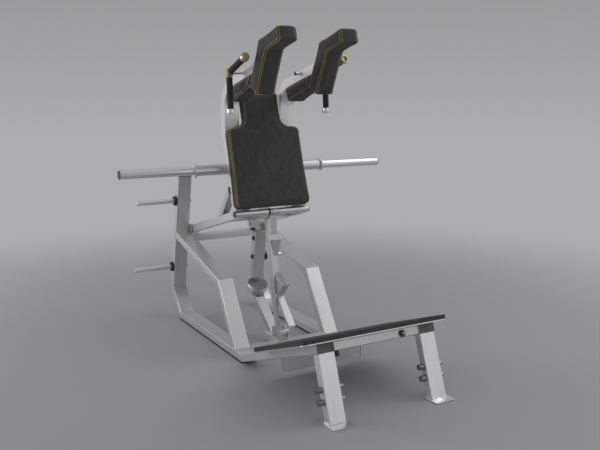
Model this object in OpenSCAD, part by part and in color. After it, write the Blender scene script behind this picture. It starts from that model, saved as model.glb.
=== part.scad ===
// Lever squat machine: a padded carriage swings up about two pivots at the uprights.
// +Z is up and the foot platform is at the front, at -Y.
// Left is at -X, as seen by somebody who stands in front of the platform.
// The origin is on the floor, at the middle of the machine's length and width.

/* [Frame tube] */
// Width of the rectangular frame tube
tube_w = 90; // [70:1:110]
// Thickness of the rectangular frame tube
tube_t = 45; // [40:1:50]
// Wall of every tube
wall = 3; // [2:0.5:4]
// Gap at cushions and at seats on round bars
seat_gap = 0.3; // [0.1:0.1:0.5]
// Running clearance on the radius of pins and rods
pin_gap = 0.05; // [0.02:0.01:0.1]
// Gap where a flat piece lies on a sloping one
lay_gap = 0.02; // [0.01:0.01:0.1]
// Thickness of the plugs in open tube ends
plug_t = 4; // [2:1:8]

/* [Side frames] */
// Distance of each side frame from the middle
frame_x = 290; // [280:2:320]
// Height of the rubber strips under the base rails
strip_h = 8; // [4:1:12]
// How far the rubber strip stops short of the base rail's ends
strip_edge = 4; // [0:1:60]
// Rear end of the base rail
rail_rear_y = 859; // [830:1:890]
// Front end of the base rail, where it turns up into the platform beam
rail_front_y = -74; // [-100:1:-60]
// Rear knee between the rear leg and the upright, along the machine
rear_knee_y = 992.5; // [970:0.5:1010]
// Height of the rear knee
rear_knee_z = 193.7; // [170:0.1:220]
// Top of the upright, along the machine
upright_top_y = 837; // [815:1:855]
// Height of the upright's top
upright_top_z = 942; // [900:1:990]
// Front knee between the front leg and the top rail, along the machine
front_knee_y = 235; // [200:1:260]
// Height of the front knee
front_knee_z = 385; // [360:1:410]
// Where the front leg stands on the base rail
front_leg_y = 27; // [20:1:60]
// Height at which the top rail runs into the upright
top_rail_z = 560; // [545:1:575]

/* [Cross tubes] */
// Front face of the flat cross tube between the base rails
base_cross_y = -39; // [-50:1:-20]
// Width of the short tube that carries the lever and the bumper
lever_base_w = 92; // [90:1:110]
// Length of the short tube that carries the lever and the bumper
lever_base_len = 168; // [160:1:190]
// Rear cross tube between the top rails, front face
rear_cross_y = 805; // [790:1:808]
// Height of the middle of the rear cross tube
rear_cross_z = 541; // [536:1:545]
// Depth and height of the square cross tubes
cross_t = 44; // [38:1:46]

/* [Foot platform] */
// Front end of the platform beams
beam_front_y = -868; // [-900:1:-840]
// Height of the platform beams at their front end
beam_front_z = 325; // [300:1:350]
// Width of the foot platform
platform_w = 830; // [760:5:900]
// Depth of the foot platform along its slope
platform_d = 546; // [450:2:560]
// How far the platform stands out past the beams
platform_nose = 28; // [20:1:40]
// Thickness of the steel platform plate
platform_t = 6; // [4:0.5:10]
// Corner radius of the platform
platform_r = 28; // [15:1:45]
// Thickness of the ridged mat
mat_t = 21; // [5:0.5:24]
// How far the mat stops inside the plate's edge
mat_edge = 2; // [1:0.5:6]
// Number of grooves in the mat
mat_grooves = 30; // [10:1:36]
// Width of one groove in the mat
groove_w = 7; // [4:0.5:9]
// Depth of one groove in the mat
groove_d = 2.5; // [1:0.5:3]
// How far the foot of a platform support stands in front of its top
support_run = 104; // [80:1:130]
// Width of the plate under a platform support
foot_plate_w = 112; // [95:1:140]
// Depth of the plate under a platform support
foot_plate_d = 96; // [90:1:140]
// How far the plate is set forward under its support
foot_plate_set = 24; // [0:1:30]
// Diameter of a support bolt's round head
bolt_head_d = 30; // [22:1:34]
// Length of a support bolt's round head
bolt_head_t = 30; // [10:1:36]
// Diameter of a support bolt's nut
bolt_end_d = 20; // [16:1:26]
// How far a support bolt's nut stands out
bolt_end_t = 28; // [8:1:36]
// Thickness of the plate under a platform support
foot_plate_t = 6; // [4:1:12]
// Place of the cover panel under the platform
panel_y = -372; // [-410:1:-360]
// Lower edge of the cover panel
panel_z = 30; // [20:1:60]
// Height of the cover panel
panel_h = 108; // [95:1:112]
// Thickness of the cover panel
panel_t = 8; // [4:1:20]

/* [Storage pegs and bolts] */
// Diameter of a storage peg
peg_d = 29; // [20:1:50]
// Length of a storage peg
peg_len = 258; // [150:1:300]
// Height of the upper peg
peg_high = 780; // [700:1:850]
// Height of the lower peg
peg_low = 333; // [290:1:400]
// Diameter of the rubber collar
peg_collar_d = 61; // [54:1:70]
// Thickness of the rubber collar
peg_collar_t = 16; // [8:1:25]
// Width across the flats of the nuts and bolt heads
nut_w = 22; // [14:1:26]
// Thickness of the nuts and bolt heads
nut_t = 9; // [6:1:12]

/* [Carriage pivot] */
// Pivot axis of the carriage, along the machine
pivot_y = 883; // [876:1:886]
// Height of the pivot axis
pivot_z = 588; // [582:1:600]
// Diameter of the pivot pins
pin_d = 25; // [18:1:30]
// Outer diameter of the pivot hub
hub_d = 60; // [50:1:62]
// Thickness of the pivot bracket plate
bracket_t = 8; // [6:1:12]
// Side clearance of the hub
hub_gap = 2; // [1:0.5:3]
// Thickness of the keeper disc on a pin
keeper_t = 6; // [4:1:10]

/* [Carriage] */
// Width and height of the carriage arms
arm_t = 45; // [42:1:48]
// Rest bar below the back pad, along the machine
rest_y = 193; // [185:1:200]
// Height of the rest bar
rest_z = 778.5; // [770:0.5:785]
// Diameter of the rest bar
rest_d = 38; // [32:1:40]
// Length of the rest bar
rest_len = 477; // [475:1:520]
// Lower cross tube of the carriage
lower_cross_y = 365; // [358:1:370]
// Distance of the back tubes from the middle
back_x = 180.5; // [174:0.5:186]
// Thickness of the back tubes
back_t = 50; // [44:1:54]
// Lean of the back pad from upright
back_lean = 16.5; // [14:0.5:19]
// Where the leaning back tube turns upright, along the machine
back_bend_y = 362; // [356:1:368]
// Height where the leaning back tube turns upright
back_bend_z = 1256; // [1256:1:1280]
// Length of the upright part of the back tube
back_rise = 115; // [90:1:130]
// Radius of the bow at the top of the back tube
bow_r = 150; // [130:1:165]
// Rise of the shoulder end of the back tube
shoulder_rise = 14; // [11:0.5:17]
// Foot of the brace on the arm
brace_foot_y = 402; // [392:1:430]
// Height of the brace's top on the back tube
brace_top_z = 905; // [885:1:930]
// Depth of the brace
brace_t = 38; // [30:1:44]

/* [Weight bar] */
// Diameter of the middle tube of the weight bar
bar_d = 60; // [54:1:64]
// Diameter of the sleeves that take the plates
sleeve_d = 50; // [25:1:50]
// Distance of the collars from the middle
collar_x = 419; // [390:1:450]
// Distance of the sleeve ends from the middle
sleeve_x = 844; // [700:2:900]
// Diameter of the collars
collar_d = 84; // [76:1:100]
// Thickness of a collar
collar_t = 12; // [8:1:20]
// Place of the weight bar along the back tube
bar_up = 290; // [260:1:320]
// Width of the saddles that hold the weight bar
saddle_w = 60; // [40:1:80]

/* [Pads] */
// Thickness of the back pad's cushion
back_pad_t = 55; // [45:1:62]
// Board behind the back pad
back_board_t = 8; // [6:1:12]
// Width of the back pad at its lower end
back_pad_low_w = 492; // [460:2:500]
// Width of the back pad at its shoulders
back_pad_top_w = 472; // [440:2:480]
// Width of the back pad's neck
neck_w = 244; // [200:2:260]
// Length of the back pad's wide part
back_pad_body = 474; // [440:2:480]
// Length of the back pad with its neck
back_pad_len = 680; // [640:2:690]
// Width of the shoulder pads
pad_w = 124; // [100:1:130]
// Width of the front pad at its nose
nose_w = 120; // [70:1:124]
// Thickness of the pad under the back tube's end
shoulder_pad_t = 90; // [60:1:96]
// Thickness of the front pad's lower leg
front_pad_t = 100; // [85:1:110]
// Length of the front pad's lower leg
front_pad_leg = 269; // [220:1:280]
// Lean of the front pad's lower leg
front_pad_lean = 26; // [20:1:30]
// Thickness of the front pad's nose
nose_t = 82; // [70:1:95]
// How far the front pad stands in front of the bow
front_pad_reach = 229; // [220:1:255]
// How far the front pad hangs below the back tube's end
front_pad_drop = 62; // [30:1:70]
// Length of the front pad's nose
nose_len = 213; // [180:1:240]
// Rise of the front pad's nose
nose_rise = 16; // [10:1:22]
// Steel plate between a back tube and its front pad
pad_plate_t = 6; // [4:1:10]
// How far a cushion's middle stands above its edges
crown = 5; // [2:0.5:8]
// How far a cushion's sides draw in between its corners
draw_in = 3; // [1:0.5:5]

/* [Handles] */
// Diameter of the handle rod
rod_d = 16; // [12:1:20]
// Place of the handle rod along the machine
rod_y = 104; // [90:1:120]
// How far the handle rod lies above the back tube's middle
rod_lift = 10; // [0:1:12]
// Distance of the handles from the middle
handle_x = 300; // [280:1:330]
// Inner end of the handle rod
rod_in_x = 106; // [100:1:126]
// Diameter of the handle tubes
handle_d = 25; // [20:1:28]
// Diameter of the rubber grips
grip_d = 35; // [32:1:40]
// Length of the upper grip
grip_up = 170; // [120:1:200]
// Length of the lower grip
grip_down = 168; // [110:1:180]
// Diameter of the knuckle between the grips
knuckle_d = 42; // [40:1:48]
// Length of an end cap
cap_len = 28; // [12:1:30]
// Diameter of an end cap
cap_d = 46; // [36:1:50]
// Rise of the upper grip
grip_rise = 21; // [15:1:35]
// Lean of the lower grip
grip_lean = 4; // [0:1:10]

/* [Stop post and bumper] */
// Width of the stop post
post_w = 70; // [60:1:80]
// Depth of the stop post
post_t = 45; // [38:1:50]
// Height of the flange on the stop post
post_top_z = 645; // [630:1:650]
// Place of the flange along the machine
post_top_y = 361; // [356:1:366]
// Height of the stop post's lower end
post_low_z = 346; // [340:1:370]
// Lean of the stop post
post_lean = 8.5; // [6:0.5:10]
// Thickness of each flange plate
flange_t = 6; // [4:1:10]
// Diameter of the bumper
bumper_d = 124; // [100:1:136]
// Height of the rubber bumper
bumper_h = 38; // [25:1:45]
// Thickness of the steel cup under the bumper
cup_t = 20; // [10:1:26]
// Middle of the bumper's face, along the machine
bumper_y = 390; // [380:1:400]
// Height of the middle of the bumper's face
bumper_z = 308; // [295:1:312]
// Tilt of the bumper's face
bumper_tilt = 23; // [15:1:26]
// Width of the bumper strut
strut_w = 56; // [40:1:70]
// Depth of the bumper strut
strut_t = 40; // [30:1:44]
// Foot of the bumper strut
strut_foot_y = 178; // [176:1:182]

/* [Lock lever] */
// Pivot of the lock lever, along the machine
lever_y = 74; // [70:1:78]
// Height of the lever's pivot above the tube that carries it
lever_up = 27; // [26:1:32]
// Lean of the lock lever from upright
lever_lean = 11.2; // [10:0.1:12]
// Thickness of the lever's stem plate
stem_t = 12; // [8:1:14]
// Depth of the stem plate
stem_w = 45; // [38:1:48]
// Reach of the stem from its pivot
stem_reach = 680; // [650:1:682]
// Diameter of the lever's hub
lever_hub_d = 40; // [34:1:44]
// Width of the lever's square tube
lever_t = 45; // [40:1:48]
// How far the square tube is set back behind the stem
lever_set = 27; // [20:1:32]
// Radius of the catch face about the lever's pivot
catch_r = 577; // [570:1:590]
// Clearance between the catch and the support foot
catch_gap = 0.5; // [0.3:0.1:1]
// Height of the catch block
catch_h = 36; // [28:1:44]
// Width of the catch block
catch_w = 69; // [50:1:76]
// How far the catch block reaches in front of the stem's middle
catch_front = 36; // [30:1:40]
// Width of the catch's front part, which passes before the stem
catch_lip_w = 91; // [80:1:94]
// Diameter of the lever's pin
lever_pin_d = 16; // [12:1:20]
// Thickness of a clevis cheek
cheek_t = 10; // [8:1:10]
// Side clearance of the lever in its clevis
cheek_gap = 0.5; // [0.3:0.1:0.8]
// Width of the support foot under the rest bar
foot_w = 46; // [36:1:50]
// Width of the foot's clamp on the rest bar
clamp_w = 47; // [40:1:60]
// Shift of the clamp to the right
clamp_x = 16; // [10:1:20]
// Wall of the clamp
clamp_wall = 4; // [3:0.5:4]
// Length of the web under the catch
catch_web = 92; // [60:1:110]
// How far the web reaches in front of the stem's middle
catch_web_out = 54; // [46:1:60]
// Where the lever's square tube starts above its pivot
lever_tube_up = 224; // [210:1:235]
// Top of the pedal's box above the lever's pivot
pedal_box_up = 355; // [330:1:370]
// Height at which the pedal's box reaches furthest
pedal_box_mid = 284; // [260:1:300]
// How far the pedal's box reaches in front of the stem
pedal_box_out = 110; // [80:1:120]
// Height of the pedal bar's root above the lever's pivot
pedal_root_up = 218; // [205:1:222]
// How far the pedal bar's root lies in front of the stem
pedal_root_out = 20; // [12:1:28]
// Height of the pedal bar's end above the lever's pivot
pedal_end_up = 47; // [40:1:60]
// How far the pedal bar's end lies in front of the stem
pedal_end_out = 132; // [110:1:140]
// Thickness of the pedal bar
pedal_t = 22; // [14:1:26]

/* [Hidden] */
$fn = 64;
// Colours
SILVER = "#b9b9ba";
CHROME = "#d6d6d8";
BLACK = "#1d1d1f";
RUBBER = "#2a2a2c";
FABRIC = "#343538";
CHAMPAGNE = "#cbbf9c";
// A cut reaches this far past the faces that it opens
past = 1;

// Plane geometry in the side view, as pairs of a place along the machine and a height
function unit(v) = v / norm(v);
function left(v) = [-v.y, v.x];
function turn(angle) = [cos(angle), sin(angle)];
function meet(p, u, q, v) = p + u * cross(q - p, v) / cross(u, v);
function mitre(a, corner, b) = unit(unit(a - corner) + unit(b - corner));
function square_cut(a, b) = [b, left(unit(b - a))];
function strip(a, b, t, cut_a, cut_b, grow = 0) =
  let (
    u = unit(b - a),
    n = left(u) * t / 2
  )
  [
    meet(a + n, u, cut_a[0] - u * grow, cut_a[1]),
    meet(b + n, u, cut_b[0] + u * grow, cut_b[1]),
    meet(b - n, u, cut_b[0] + u * grow, cut_b[1]),
    meet(a - n, u, cut_a[0] - u * grow, cut_a[1])
  ];

// Places of the base frame
rail_z = strip_h + tube_t / 2;
rail_top = strip_h + tube_t;
inner_x = frame_x - tube_w / 2;
outer_x = frame_x + tube_w / 2;
rail_rear = [rail_rear_y, rail_z];
rail_front = [rail_front_y, rail_z];
rear_knee = [rear_knee_y, rear_knee_z];
upright_top = [upright_top_y, upright_top_z];
upright_dir = unit(upright_top - rear_knee);
function upright_y(z) = rear_knee.x + (z - rear_knee.y) * upright_dir.x / upright_dir.y;
front_knee = [front_knee_y, front_knee_z];
leg_foot = [front_leg_y, rail_top];
top_rail_end = [upright_y(top_rail_z), top_rail_z];
beam_front = [beam_front_y, beam_front_z];
beam_dir = unit(beam_front - rail_front);
beam_up = -left(beam_dir);
beam_slope = atan2(beam_dir.y, -beam_dir.x);
support_top = beam_front - beam_dir * tube_t / 2 - beam_up * tube_t / 2;
support_foot = [support_top.x - support_run, foot_plate_t];

// Places of the carriage
pivot = [pivot_y, pivot_z];
rest_bar = [rest_y, rest_z];
rest_r = rest_d / 2;
arm_dir = unit(rest_bar - pivot);
arm_up = -left(arm_dir);
arm_slope = atan2(arm_dir.y, -arm_dir.x);
arm_x = inner_x - bracket_t - hub_gap - arm_t / 2;
pin_reach = bracket_t + 2 * hub_gap + arm_t;
function arm_z(y) = pivot.y + (y - pivot.x) * arm_dir.y / arm_dir.x;
back_dir = turn(90 - back_lean);
back_fwd = left(back_dir);
back_bend = [back_bend_y, back_bend_z];
back_low = back_bend - back_dir * (back_bend.y - rest_bar.y + rest_r) / back_dir.y;
back_cut = [[rest_bar.x, arm_z(rest_bar.x)] + arm_up * arm_t / 2, arm_dir];
bow_start = back_bend + [0, back_rise];
bow_centre = bow_start - [bow_r, 0];
bow_turn = 90 - shoulder_rise;
bow_end = bow_centre + bow_r * turn(bow_turn);
end_dir = [-cos(shoulder_rise), sin(shoulder_rise)];
end_down = left(end_dir);
bar_mid = back_low + back_dir * bar_up - back_fwd * (back_t / 2 + bar_d / 2 + seat_gap);
pad_face = back_low + back_fwd * (back_t / 2 + back_board_t);
pad_foot = pad_face + back_dir * ((rest_bar - pad_face) * back_dir + rest_r + seat_gap);
rod_mid = meet(bow_end, end_dir, [rod_y, 0], [0, 1]) + [0, rod_lift];
brace_foot = [brace_foot_y, arm_z(brace_foot_y)] + arm_up * arm_t / 2;
brace_top = meet(back_low - back_fwd * back_t / 2, back_dir, [0, brace_top_z], [1, 0]);
lower_cross = [lower_cross_y, arm_z(lower_cross_y)];
post_dir = [-sin(post_lean), cos(post_lean)];
post_top = [post_top_y, post_top_z];
post_low = post_top - post_dir * (post_top_z - post_low_z) / post_dir.y;

// Front pad in the side view: a lower leg and a nose, from the nose's upper corner round
leg_dir = [-sin(front_pad_lean), cos(front_pad_lean)];
leg_out = -left(leg_dir);
nose_dir = [-cos(nose_rise), sin(nose_rise)];
leg_rear = bow_end + end_dir * front_pad_reach + end_down * (back_t / 2 + front_pad_drop);
leg_front = leg_rear - leg_out * front_pad_t - leg_dir * 4;
nose_rear = leg_rear + leg_dir * front_pad_leg;
nose_high = nose_rear + nose_dir * nose_len;
nose_low = nose_high + left(nose_dir) * nose_t;
leg_bend = meet(nose_low, nose_dir, leg_front, leg_dir);
front_pad_shape = [nose_high, nose_low, leg_bend, leg_front, leg_rear, nose_rear];
plate_near = leg_rear + leg_out * seat_gap;
plate_far = plate_near + leg_out * pad_plate_t;
back_end = meet(bow_end, end_dir, plate_far, leg_dir);

// Shoulder pad in the side view: it hangs under the back tube's end, behind the front pad
under = bow_end + end_down * (back_t / 2 + seat_gap);
shoulder_pad_shape = [
  meet(under, end_dir, plate_near, leg_dir),
  plate_near + leg_dir * 6,
  under + end_dir * 156 + end_down * shoulder_pad_t * 0.82,
  under - end_dir * 12 + end_down * shoulder_pad_t,
  under - end_dir * 26 + end_down * 10,
  under + end_dir * 3
];

// Places of the bumper and of the lock lever
bumper_face = [bumper_y, bumper_z];
bumper_up = [-sin(bumper_tilt), cos(bumper_tilt)];
strut_top = bumper_face - bumper_up * (bumper_h + cup_t);
strut_foot = [strut_foot_y, rail_top];
lever_pivot = [lever_y, rail_top + lever_up];
lever_dir = turn(90 - lever_lean);
lever_fwd = left(lever_dir);
function on_lever(up, fwd) = lever_pivot + lever_dir * up + lever_fwd * fwd;
tube_face = lever_t / 2 - lever_set;
tube_back = -lever_t / 2 - lever_set;
catch_low = catch_r - catch_h;
stem_x = -stem_t - lever_t / 2;
pedal_root = on_lever(pedal_root_up, pedal_root_out);
pedal_end = on_lever(pedal_end_up, pedal_end_out);

// Solids of the side view and solids along X
module side(points, x, w)
  translate([x, 0, 0])
    rotate([90, 0, 90])
      linear_extrude(w, center = true)
        polygon(points);

module along_x(p, x, len, d)
  translate([x, p.x, p.y])
    rotate([0, 90, 0])
      cylinder(h = len, d = d, center = true);

module along_yz(p, x, dir, from, len, d)
  translate([x, p.x, p.y])
    rotate([atan2(-dir.x, dir.y), 0, 0])
      translate([0, 0, from])
        cylinder(h = len, d = d);

module side_tube(a, b, cut_a, cut_b, x, w = tube_w, t = tube_t)
  difference() {
    side(strip(a, b, t, cut_a, cut_b), x, w);
    side(strip(a, b, t - 2 * wall, cut_a, cut_b, past), x, w - 2 * wall);
  }

module cross_tube(len, d, h)
  difference() {
    cube([len, d, h], center = true);
    cube([len + 2 * past, d - 2 * wall, h - 2 * wall], center = true);
  }

module hex_x(p, x)
  translate([x, p.x, p.y])
    rotate([0, 90, 0])
      cylinder(h = nut_t, d = nut_w / cos(30), center = true, $fn = 6);

module both_sides() {
  children();
  mirror([1, 0, 0])
    children();
}

// Cushion outlines run anticlockwise, with filleted corners and sides that draw in
fillet_steps = 5;
side_steps = 5;
function at(list, i) = list[(i + len(list)) % len(list)];
function fillet(a, b, c, r) =
  let (
    u = unit(a - b),
    v = unit(c - b),
    half = acos(u * v) / 2,
    o = b + unit(u + v) * r / sin(half),
    d0 = unit(b + u * r / tan(half) - o),
    d1 = unit(b + v * r / tan(half) - o),
    sweep = 180 - 2 * half
  )
  [
    for (i = [0:fillet_steps])
      let (t = i / fillet_steps)
        o + r * (sin((1 - t) * sweep) * d0 + sin(t * sweep) * d1) / sin(sweep)
  ];
function drawn_side(p, q, bow) = [
  for (i = [1:side_steps])
    let (t = i / (side_steps + 1))
      p + (q - p) * t + left(unit(q - p)) * bow * 4 * t * (1 - t)
];
function outline(corners, radii, bows) =
  let (
    n = len(corners),
    arcs = [for (k = [0:n - 1]) fillet(at(corners, k - 1), corners[k], at(corners, k + 1), radii[k])]
  )
  [
    for (k = [0:n - 1])
      each concat(arcs[k], drawn_side(arcs[k][fillet_steps], at(arcs, k + 1)[0], bows[k]))
  ];
function inset(points, d) = [
  for (i = [0:len(points) - 1])
    let (
      a = left(unit(points[i] - at(points, i - 1))),
      b = left(unit(at(points, i + 1) - points[i])),
      n = unit(a + b)
    )
    points[i] + n * d / max(0.6, n * a)
];
function toward(points, centre, f) = [for (p = points) centre + (p - centre) * f];
function lift(points, h) = [for (p = points) [p.x, p.y, h]];

// A closed skin through rings that are listed from the lowest to the highest
module loft(rings, low, high) {
  n = len(rings[0]);
  m = len(rings);
  points = concat([for (r = rings) each r], [low, high]);
  walls = [
    for (k = [0:m - 2])
      for (i = [0:n - 1])
        let (j = (i + 1) % n)
          each [
            [k * n + i, (k + 1) * n + i, (k + 1) * n + j],
            [k * n + i, (k + 1) * n + j, k * n + j]
          ]
  ];
  low_fan = [for (i = [0:n - 1]) [n * m, i, (i + 1) % n]];
  high_fan = [for (i = [0:n - 1]) [n * m + 1, (m - 1) * n + (i + 1) % n, (m - 1) * n + i]];
  polyhedron(points, concat(walls, low_fan, high_fan));
}

// A cushion on a flat board has upright sides, a soft edge and a crowned face
soft_edge = [[1, 0], [0, 0.3], [0, 0.6], [2, 0.8], [7, 0.93], [15, 0.99]];
dome = [0.7, 0.4];
module board_cushion(points, centre, t)
  let (h = t - crown)
    loft(
      concat(
        [for (e = soft_edge) lift(inset(points, e.x), e.y * h)],
        [for (f = dome) lift(toward(inset(points, 15), centre, f), h + crown * (1 - f * f))]
      ),
      [centre.x, centre.y, 0],
      [centre.x, centre.y, t]
    );

// A cushion seen from its side has both flanks crowned, and may narrow towards one end
flank = [[10, 0.025], [5, 0.06], [1.5, 0.13], [0, 0.28], [0, 0.72], [1.5, 0.87], [5, 0.94], [10, 0.975]];
function narrowing(p) = min(1, max(0, (p - leg_front) * leg_dir / front_pad_leg - 0.5));
function spread(points, share, w, end_w) = [
  for (p = points)
    [p.x, p.y, (share - 0.5) * (w + (end_w - w) * narrowing(p))]
];
module block_cushion(points, centre, w, end_w, x)
  translate([x, 0, 0])
    rotate([90, 0, 90])
      loft(
        concat(
          [spread(toward(inset(points, 10), centre, 0.5), 0.004, w, end_w)],
          [for (e = flank) spread(inset(points, e.x), e.y, w, end_w)],
          [spread(toward(inset(points, 10), centre, 0.5), 0.996, w, end_w)]
        ),
        spread([centre], 0, w, end_w)[0],
        spread([centre], 1, w, end_w)[0]
      );

// Side frames
module upright(s)
  color(SILVER)
    union() {
      side_tube(upright_top, rear_knee, square_cut(rear_knee, upright_top),
        [rear_knee, mitre(upright_top, rear_knee, rail_rear)], s * frame_x);
      side_tube(rear_knee, rail_rear, [rear_knee, mitre(upright_top, rear_knee, rail_rear)],
        [rail_rear, mitre(rear_knee, rail_rear, rail_front)], s * frame_x);
    }

module base_rail(s)
  color(SILVER)
    side_tube(rail_rear, rail_front, [rail_rear, mitre(rear_knee, rail_rear, rail_front)],
      [rail_front, mitre(rail_rear, rail_front, beam_front)], s * frame_x);

module platform_beam(s)
  color(SILVER)
    side_tube(rail_front, beam_front, [rail_front, mitre(rail_rear, rail_front, beam_front)],
      square_cut(rail_front, beam_front), s * frame_x);

module front_leg(s)
  color(SILVER)
    side_tube(front_knee, leg_foot, [front_knee, mitre(leg_foot, front_knee, top_rail_end)],
      [leg_foot, [1, 0]], s * frame_x);

module top_rail(s)
  color(SILVER)
    side_tube(front_knee, top_rail_end, [front_knee, mitre(leg_foot, front_knee, top_rail_end)],
      [top_rail_end + left(upright_dir) * tube_t / 2, upright_dir], s * frame_x);

module base_strips()
  color(RUBBER)
    both_sides()
      translate([inner_x, rail_front_y + strip_edge, 0])
        cube([tube_w, rail_rear_y - rail_front_y - 2 * strip_edge, strip_h]);

module end_plug(p, dir)
  side(strip(p, p + dir * plug_t, tube_t, [p, left(dir)], [p + dir * plug_t, left(dir)]), frame_x, tube_w);

module tube_plugs()
  color(BLACK)
    both_sides() {
      end_plug(beam_front, beam_dir);
      end_plug(upright_top, upright_dir);
    }

// Cross tubes
module base_cross_tube()
  color(SILVER)
    translate([0, base_cross_y + tube_w / 2, rail_z])
      cross_tube(2 * inner_x, tube_w, tube_t);

module lever_base()
  color(SILVER)
    translate([0, base_cross_y + tube_w, strip_h])
      difference() {
        translate([-lever_base_w / 2, 0, 0])
          cube([lever_base_w, lever_base_len, tube_t]);
        translate([wall - lever_base_w / 2, -past, wall])
          cube([lever_base_w - 2 * wall, lever_base_len - wall + past, tube_t - 2 * wall]);
      }

module rear_cross_tube()
  color(SILVER)
    translate([0, rear_cross_y + cross_t / 2, rear_cross_z])
      cross_tube(2 * inner_x, cross_t, cross_t);

module on_beams(p)
  translate([0, p.x, p.y])
    rotate([-beam_slope, 0, 0])
      children();

module front_cross_tube()
  color(SILVER)
    on_beams(beam_front - beam_dir * (plug_t + cross_t / 2))
      cross_tube(2 * inner_x, cross_t, tube_t);

module cover_panel()
  color(SILVER)
    translate([0, panel_y, panel_z + panel_h / 2])
      cube([2 * inner_x, panel_t, panel_h], center = true);

// Foot platform, drawn flat and laid on the beams' slope
module platform_shape(edge)
  let (r = platform_r - edge)
    translate([-platform_w / 2 + platform_r, platform_r])
      offset_box(platform_w - 2 * platform_r, platform_d - 2 * platform_r, r);

module offset_box(w, d, r) {
  translate([-r, 0])
    square([w + 2 * r, d]);
  translate([0, -r])
    square([w, d + 2 * r]);
  for (x = [0, w])
    for (y = [0, d])
      translate([x, y])
        circle(r);
}

module foot_platform()
  color(CHROME)
    on_beams(beam_front + beam_dir * platform_nose + beam_up * (tube_t / 2 + lay_gap))
      linear_extrude(platform_t)
        platform_shape(0);

module platform_mat()
  let (pitch = (platform_w - 2 * platform_r) / mat_grooves)
    color(RUBBER)
      on_beams(beam_front + beam_dir * platform_nose + beam_up * (tube_t / 2 + platform_t + 2 * lay_gap))
        difference() {
          linear_extrude(mat_t)
            platform_shape(mat_edge);
          for (i = [0:mat_grooves - 1])
            translate([(i - (mat_grooves - 1) / 2) * pitch, platform_d / 2, mat_t])
              cube([groove_w, platform_d + 2 * past, 2 * groove_d], center = true);
        }

module platform_support(s)
  color(SILVER)
    union() {
      side_tube(support_top, support_foot, [support_top, beam_dir], [support_foot, [1, 0]], s * frame_x);
      translate([s * frame_x, support_foot.x - foot_plate_set, foot_plate_t / 2])
        cube([foot_plate_w, foot_plate_d, foot_plate_t], center = true);
    }

// Storage pegs and the bolts of the base
module storage_pegs()
  color(CHROME)
    both_sides()
      for (z = [peg_low, peg_high])
        along_x([upright_y(z), z], outer_x + peg_len / 2, peg_len, peg_d);

module peg_collars()
  color(RUBBER)
    both_sides()
      for (z = [peg_low, peg_high])
        difference() {
          along_x([upright_y(z), z], outer_x + peg_collar_t / 2, peg_collar_t, peg_collar_d);
          along_x([upright_y(z), z], outer_x + peg_collar_t / 2, 2 * peg_collar_t, peg_d + 2 * pin_gap);
        }

module base_bolts()
  color(CHROME) {
    both_sides()
      for (z = [peg_low, peg_high])
        hex_x([upright_y(z), z], inner_x - nut_t / 2);
    for (s = [-1, 1])
      for (share = [0.51, 0.69])
        let (at = support_top + (support_foot - support_top) * share) {
          along_x(at, s * frame_x - (tube_w + bolt_head_t) / 2, bolt_head_t, bolt_head_d);
          along_x(at, s * frame_x + (tube_w + bolt_end_t) / 2, bolt_end_t, bolt_end_d);
        }
  }

// Carriage pivots at the uprights
module pivot_brackets()
  color(SILVER)
    both_sides()
      difference() {
        union() {
          along_x(pivot, inner_x - bracket_t / 2, bracket_t, hub_d);
          side([
            pivot - [0, hub_d / 2],
            [upright_y(pivot.y - hub_d / 2) + tube_t / 4, pivot.y - hub_d / 2],
            [upright_y(pivot.y + hub_d / 2) + tube_t / 4, pivot.y + hub_d / 2],
            pivot + [0, hub_d / 2]
          ], inner_x - bracket_t / 2, bracket_t);
        }
        along_x(pivot, inner_x, 4 * bracket_t, pin_d + 2 * pin_gap);
      }

module pivot_pins()
  color(CHROME)
    both_sides() {
      along_x(pivot, inner_x - pin_reach / 2, pin_reach, pin_d);
      along_x(pivot, inner_x - pin_reach - keeper_t / 2, keeper_t, hub_d * 0.7);
    }

// Carriage frame
module carriage_arm(s)
  color(SILVER)
    difference() {
      union() {
        side_tube(pivot + arm_dir * hub_d / 3, rest_bar, square_cut(rest_bar, pivot + arm_dir * hub_d / 3),
          square_cut(pivot, rest_bar), s * arm_x, arm_t, arm_t);
        along_x(pivot, s * arm_x, arm_t, hub_d);
      }
      along_x(pivot, s * arm_x, arm_t + 2 * past, pin_d + 2 * pin_gap);
      along_x(rest_bar, s * arm_x, arm_t + 2 * past, rest_d + 2 * pin_gap);
    }

module rest_bar_tube()
  color(SILVER)
    difference() {
      along_x(rest_bar, 0, rest_len, rest_d);
      along_x(rest_bar, 0, rest_len + 2 * past, rest_d - 2 * wall);
    }

module bar_end_plugs()
  color(BLACK)
    both_sides() {
      along_x(rest_bar, rest_len / 2 + plug_t / 2, plug_t, rest_d);
      along_x(bar_mid, sleeve_x + plug_t / 2, plug_t, sleeve_d);
      along_x(rod_mid, rod_in_x - plug_t / 2, plug_t, rod_d * 1.4);
    }

module carriage_cross_tube()
  color(SILVER)
    translate([0, lower_cross.x, lower_cross.y])
      rotate([-arm_slope, 0, 0])
        cross_tube(2 * arm_x - arm_t, arm_t, arm_t);

bend_cut = [back_bend, mitre(back_low, back_bend, bow_start)];
module back_tube_body(x, w, t, grow)
  union() {
    side(strip(back_low, back_bend, t, back_cut, bend_cut, grow), x, w);
    side(strip(back_bend, bow_start, t, bend_cut, square_cut(back_bend, bow_start)), x, w);
    translate([x, bow_centre.x, bow_centre.y])
      rotate([90, 0, 90])
        rotate_extrude(angle = bow_turn, $fn = 96)
          translate([bow_r, 0])
            square([t, w], center = true);
    side(strip(bow_end, back_end, t, [bow_end, end_down], [back_end, leg_dir], grow), x, w);
  }

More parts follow.
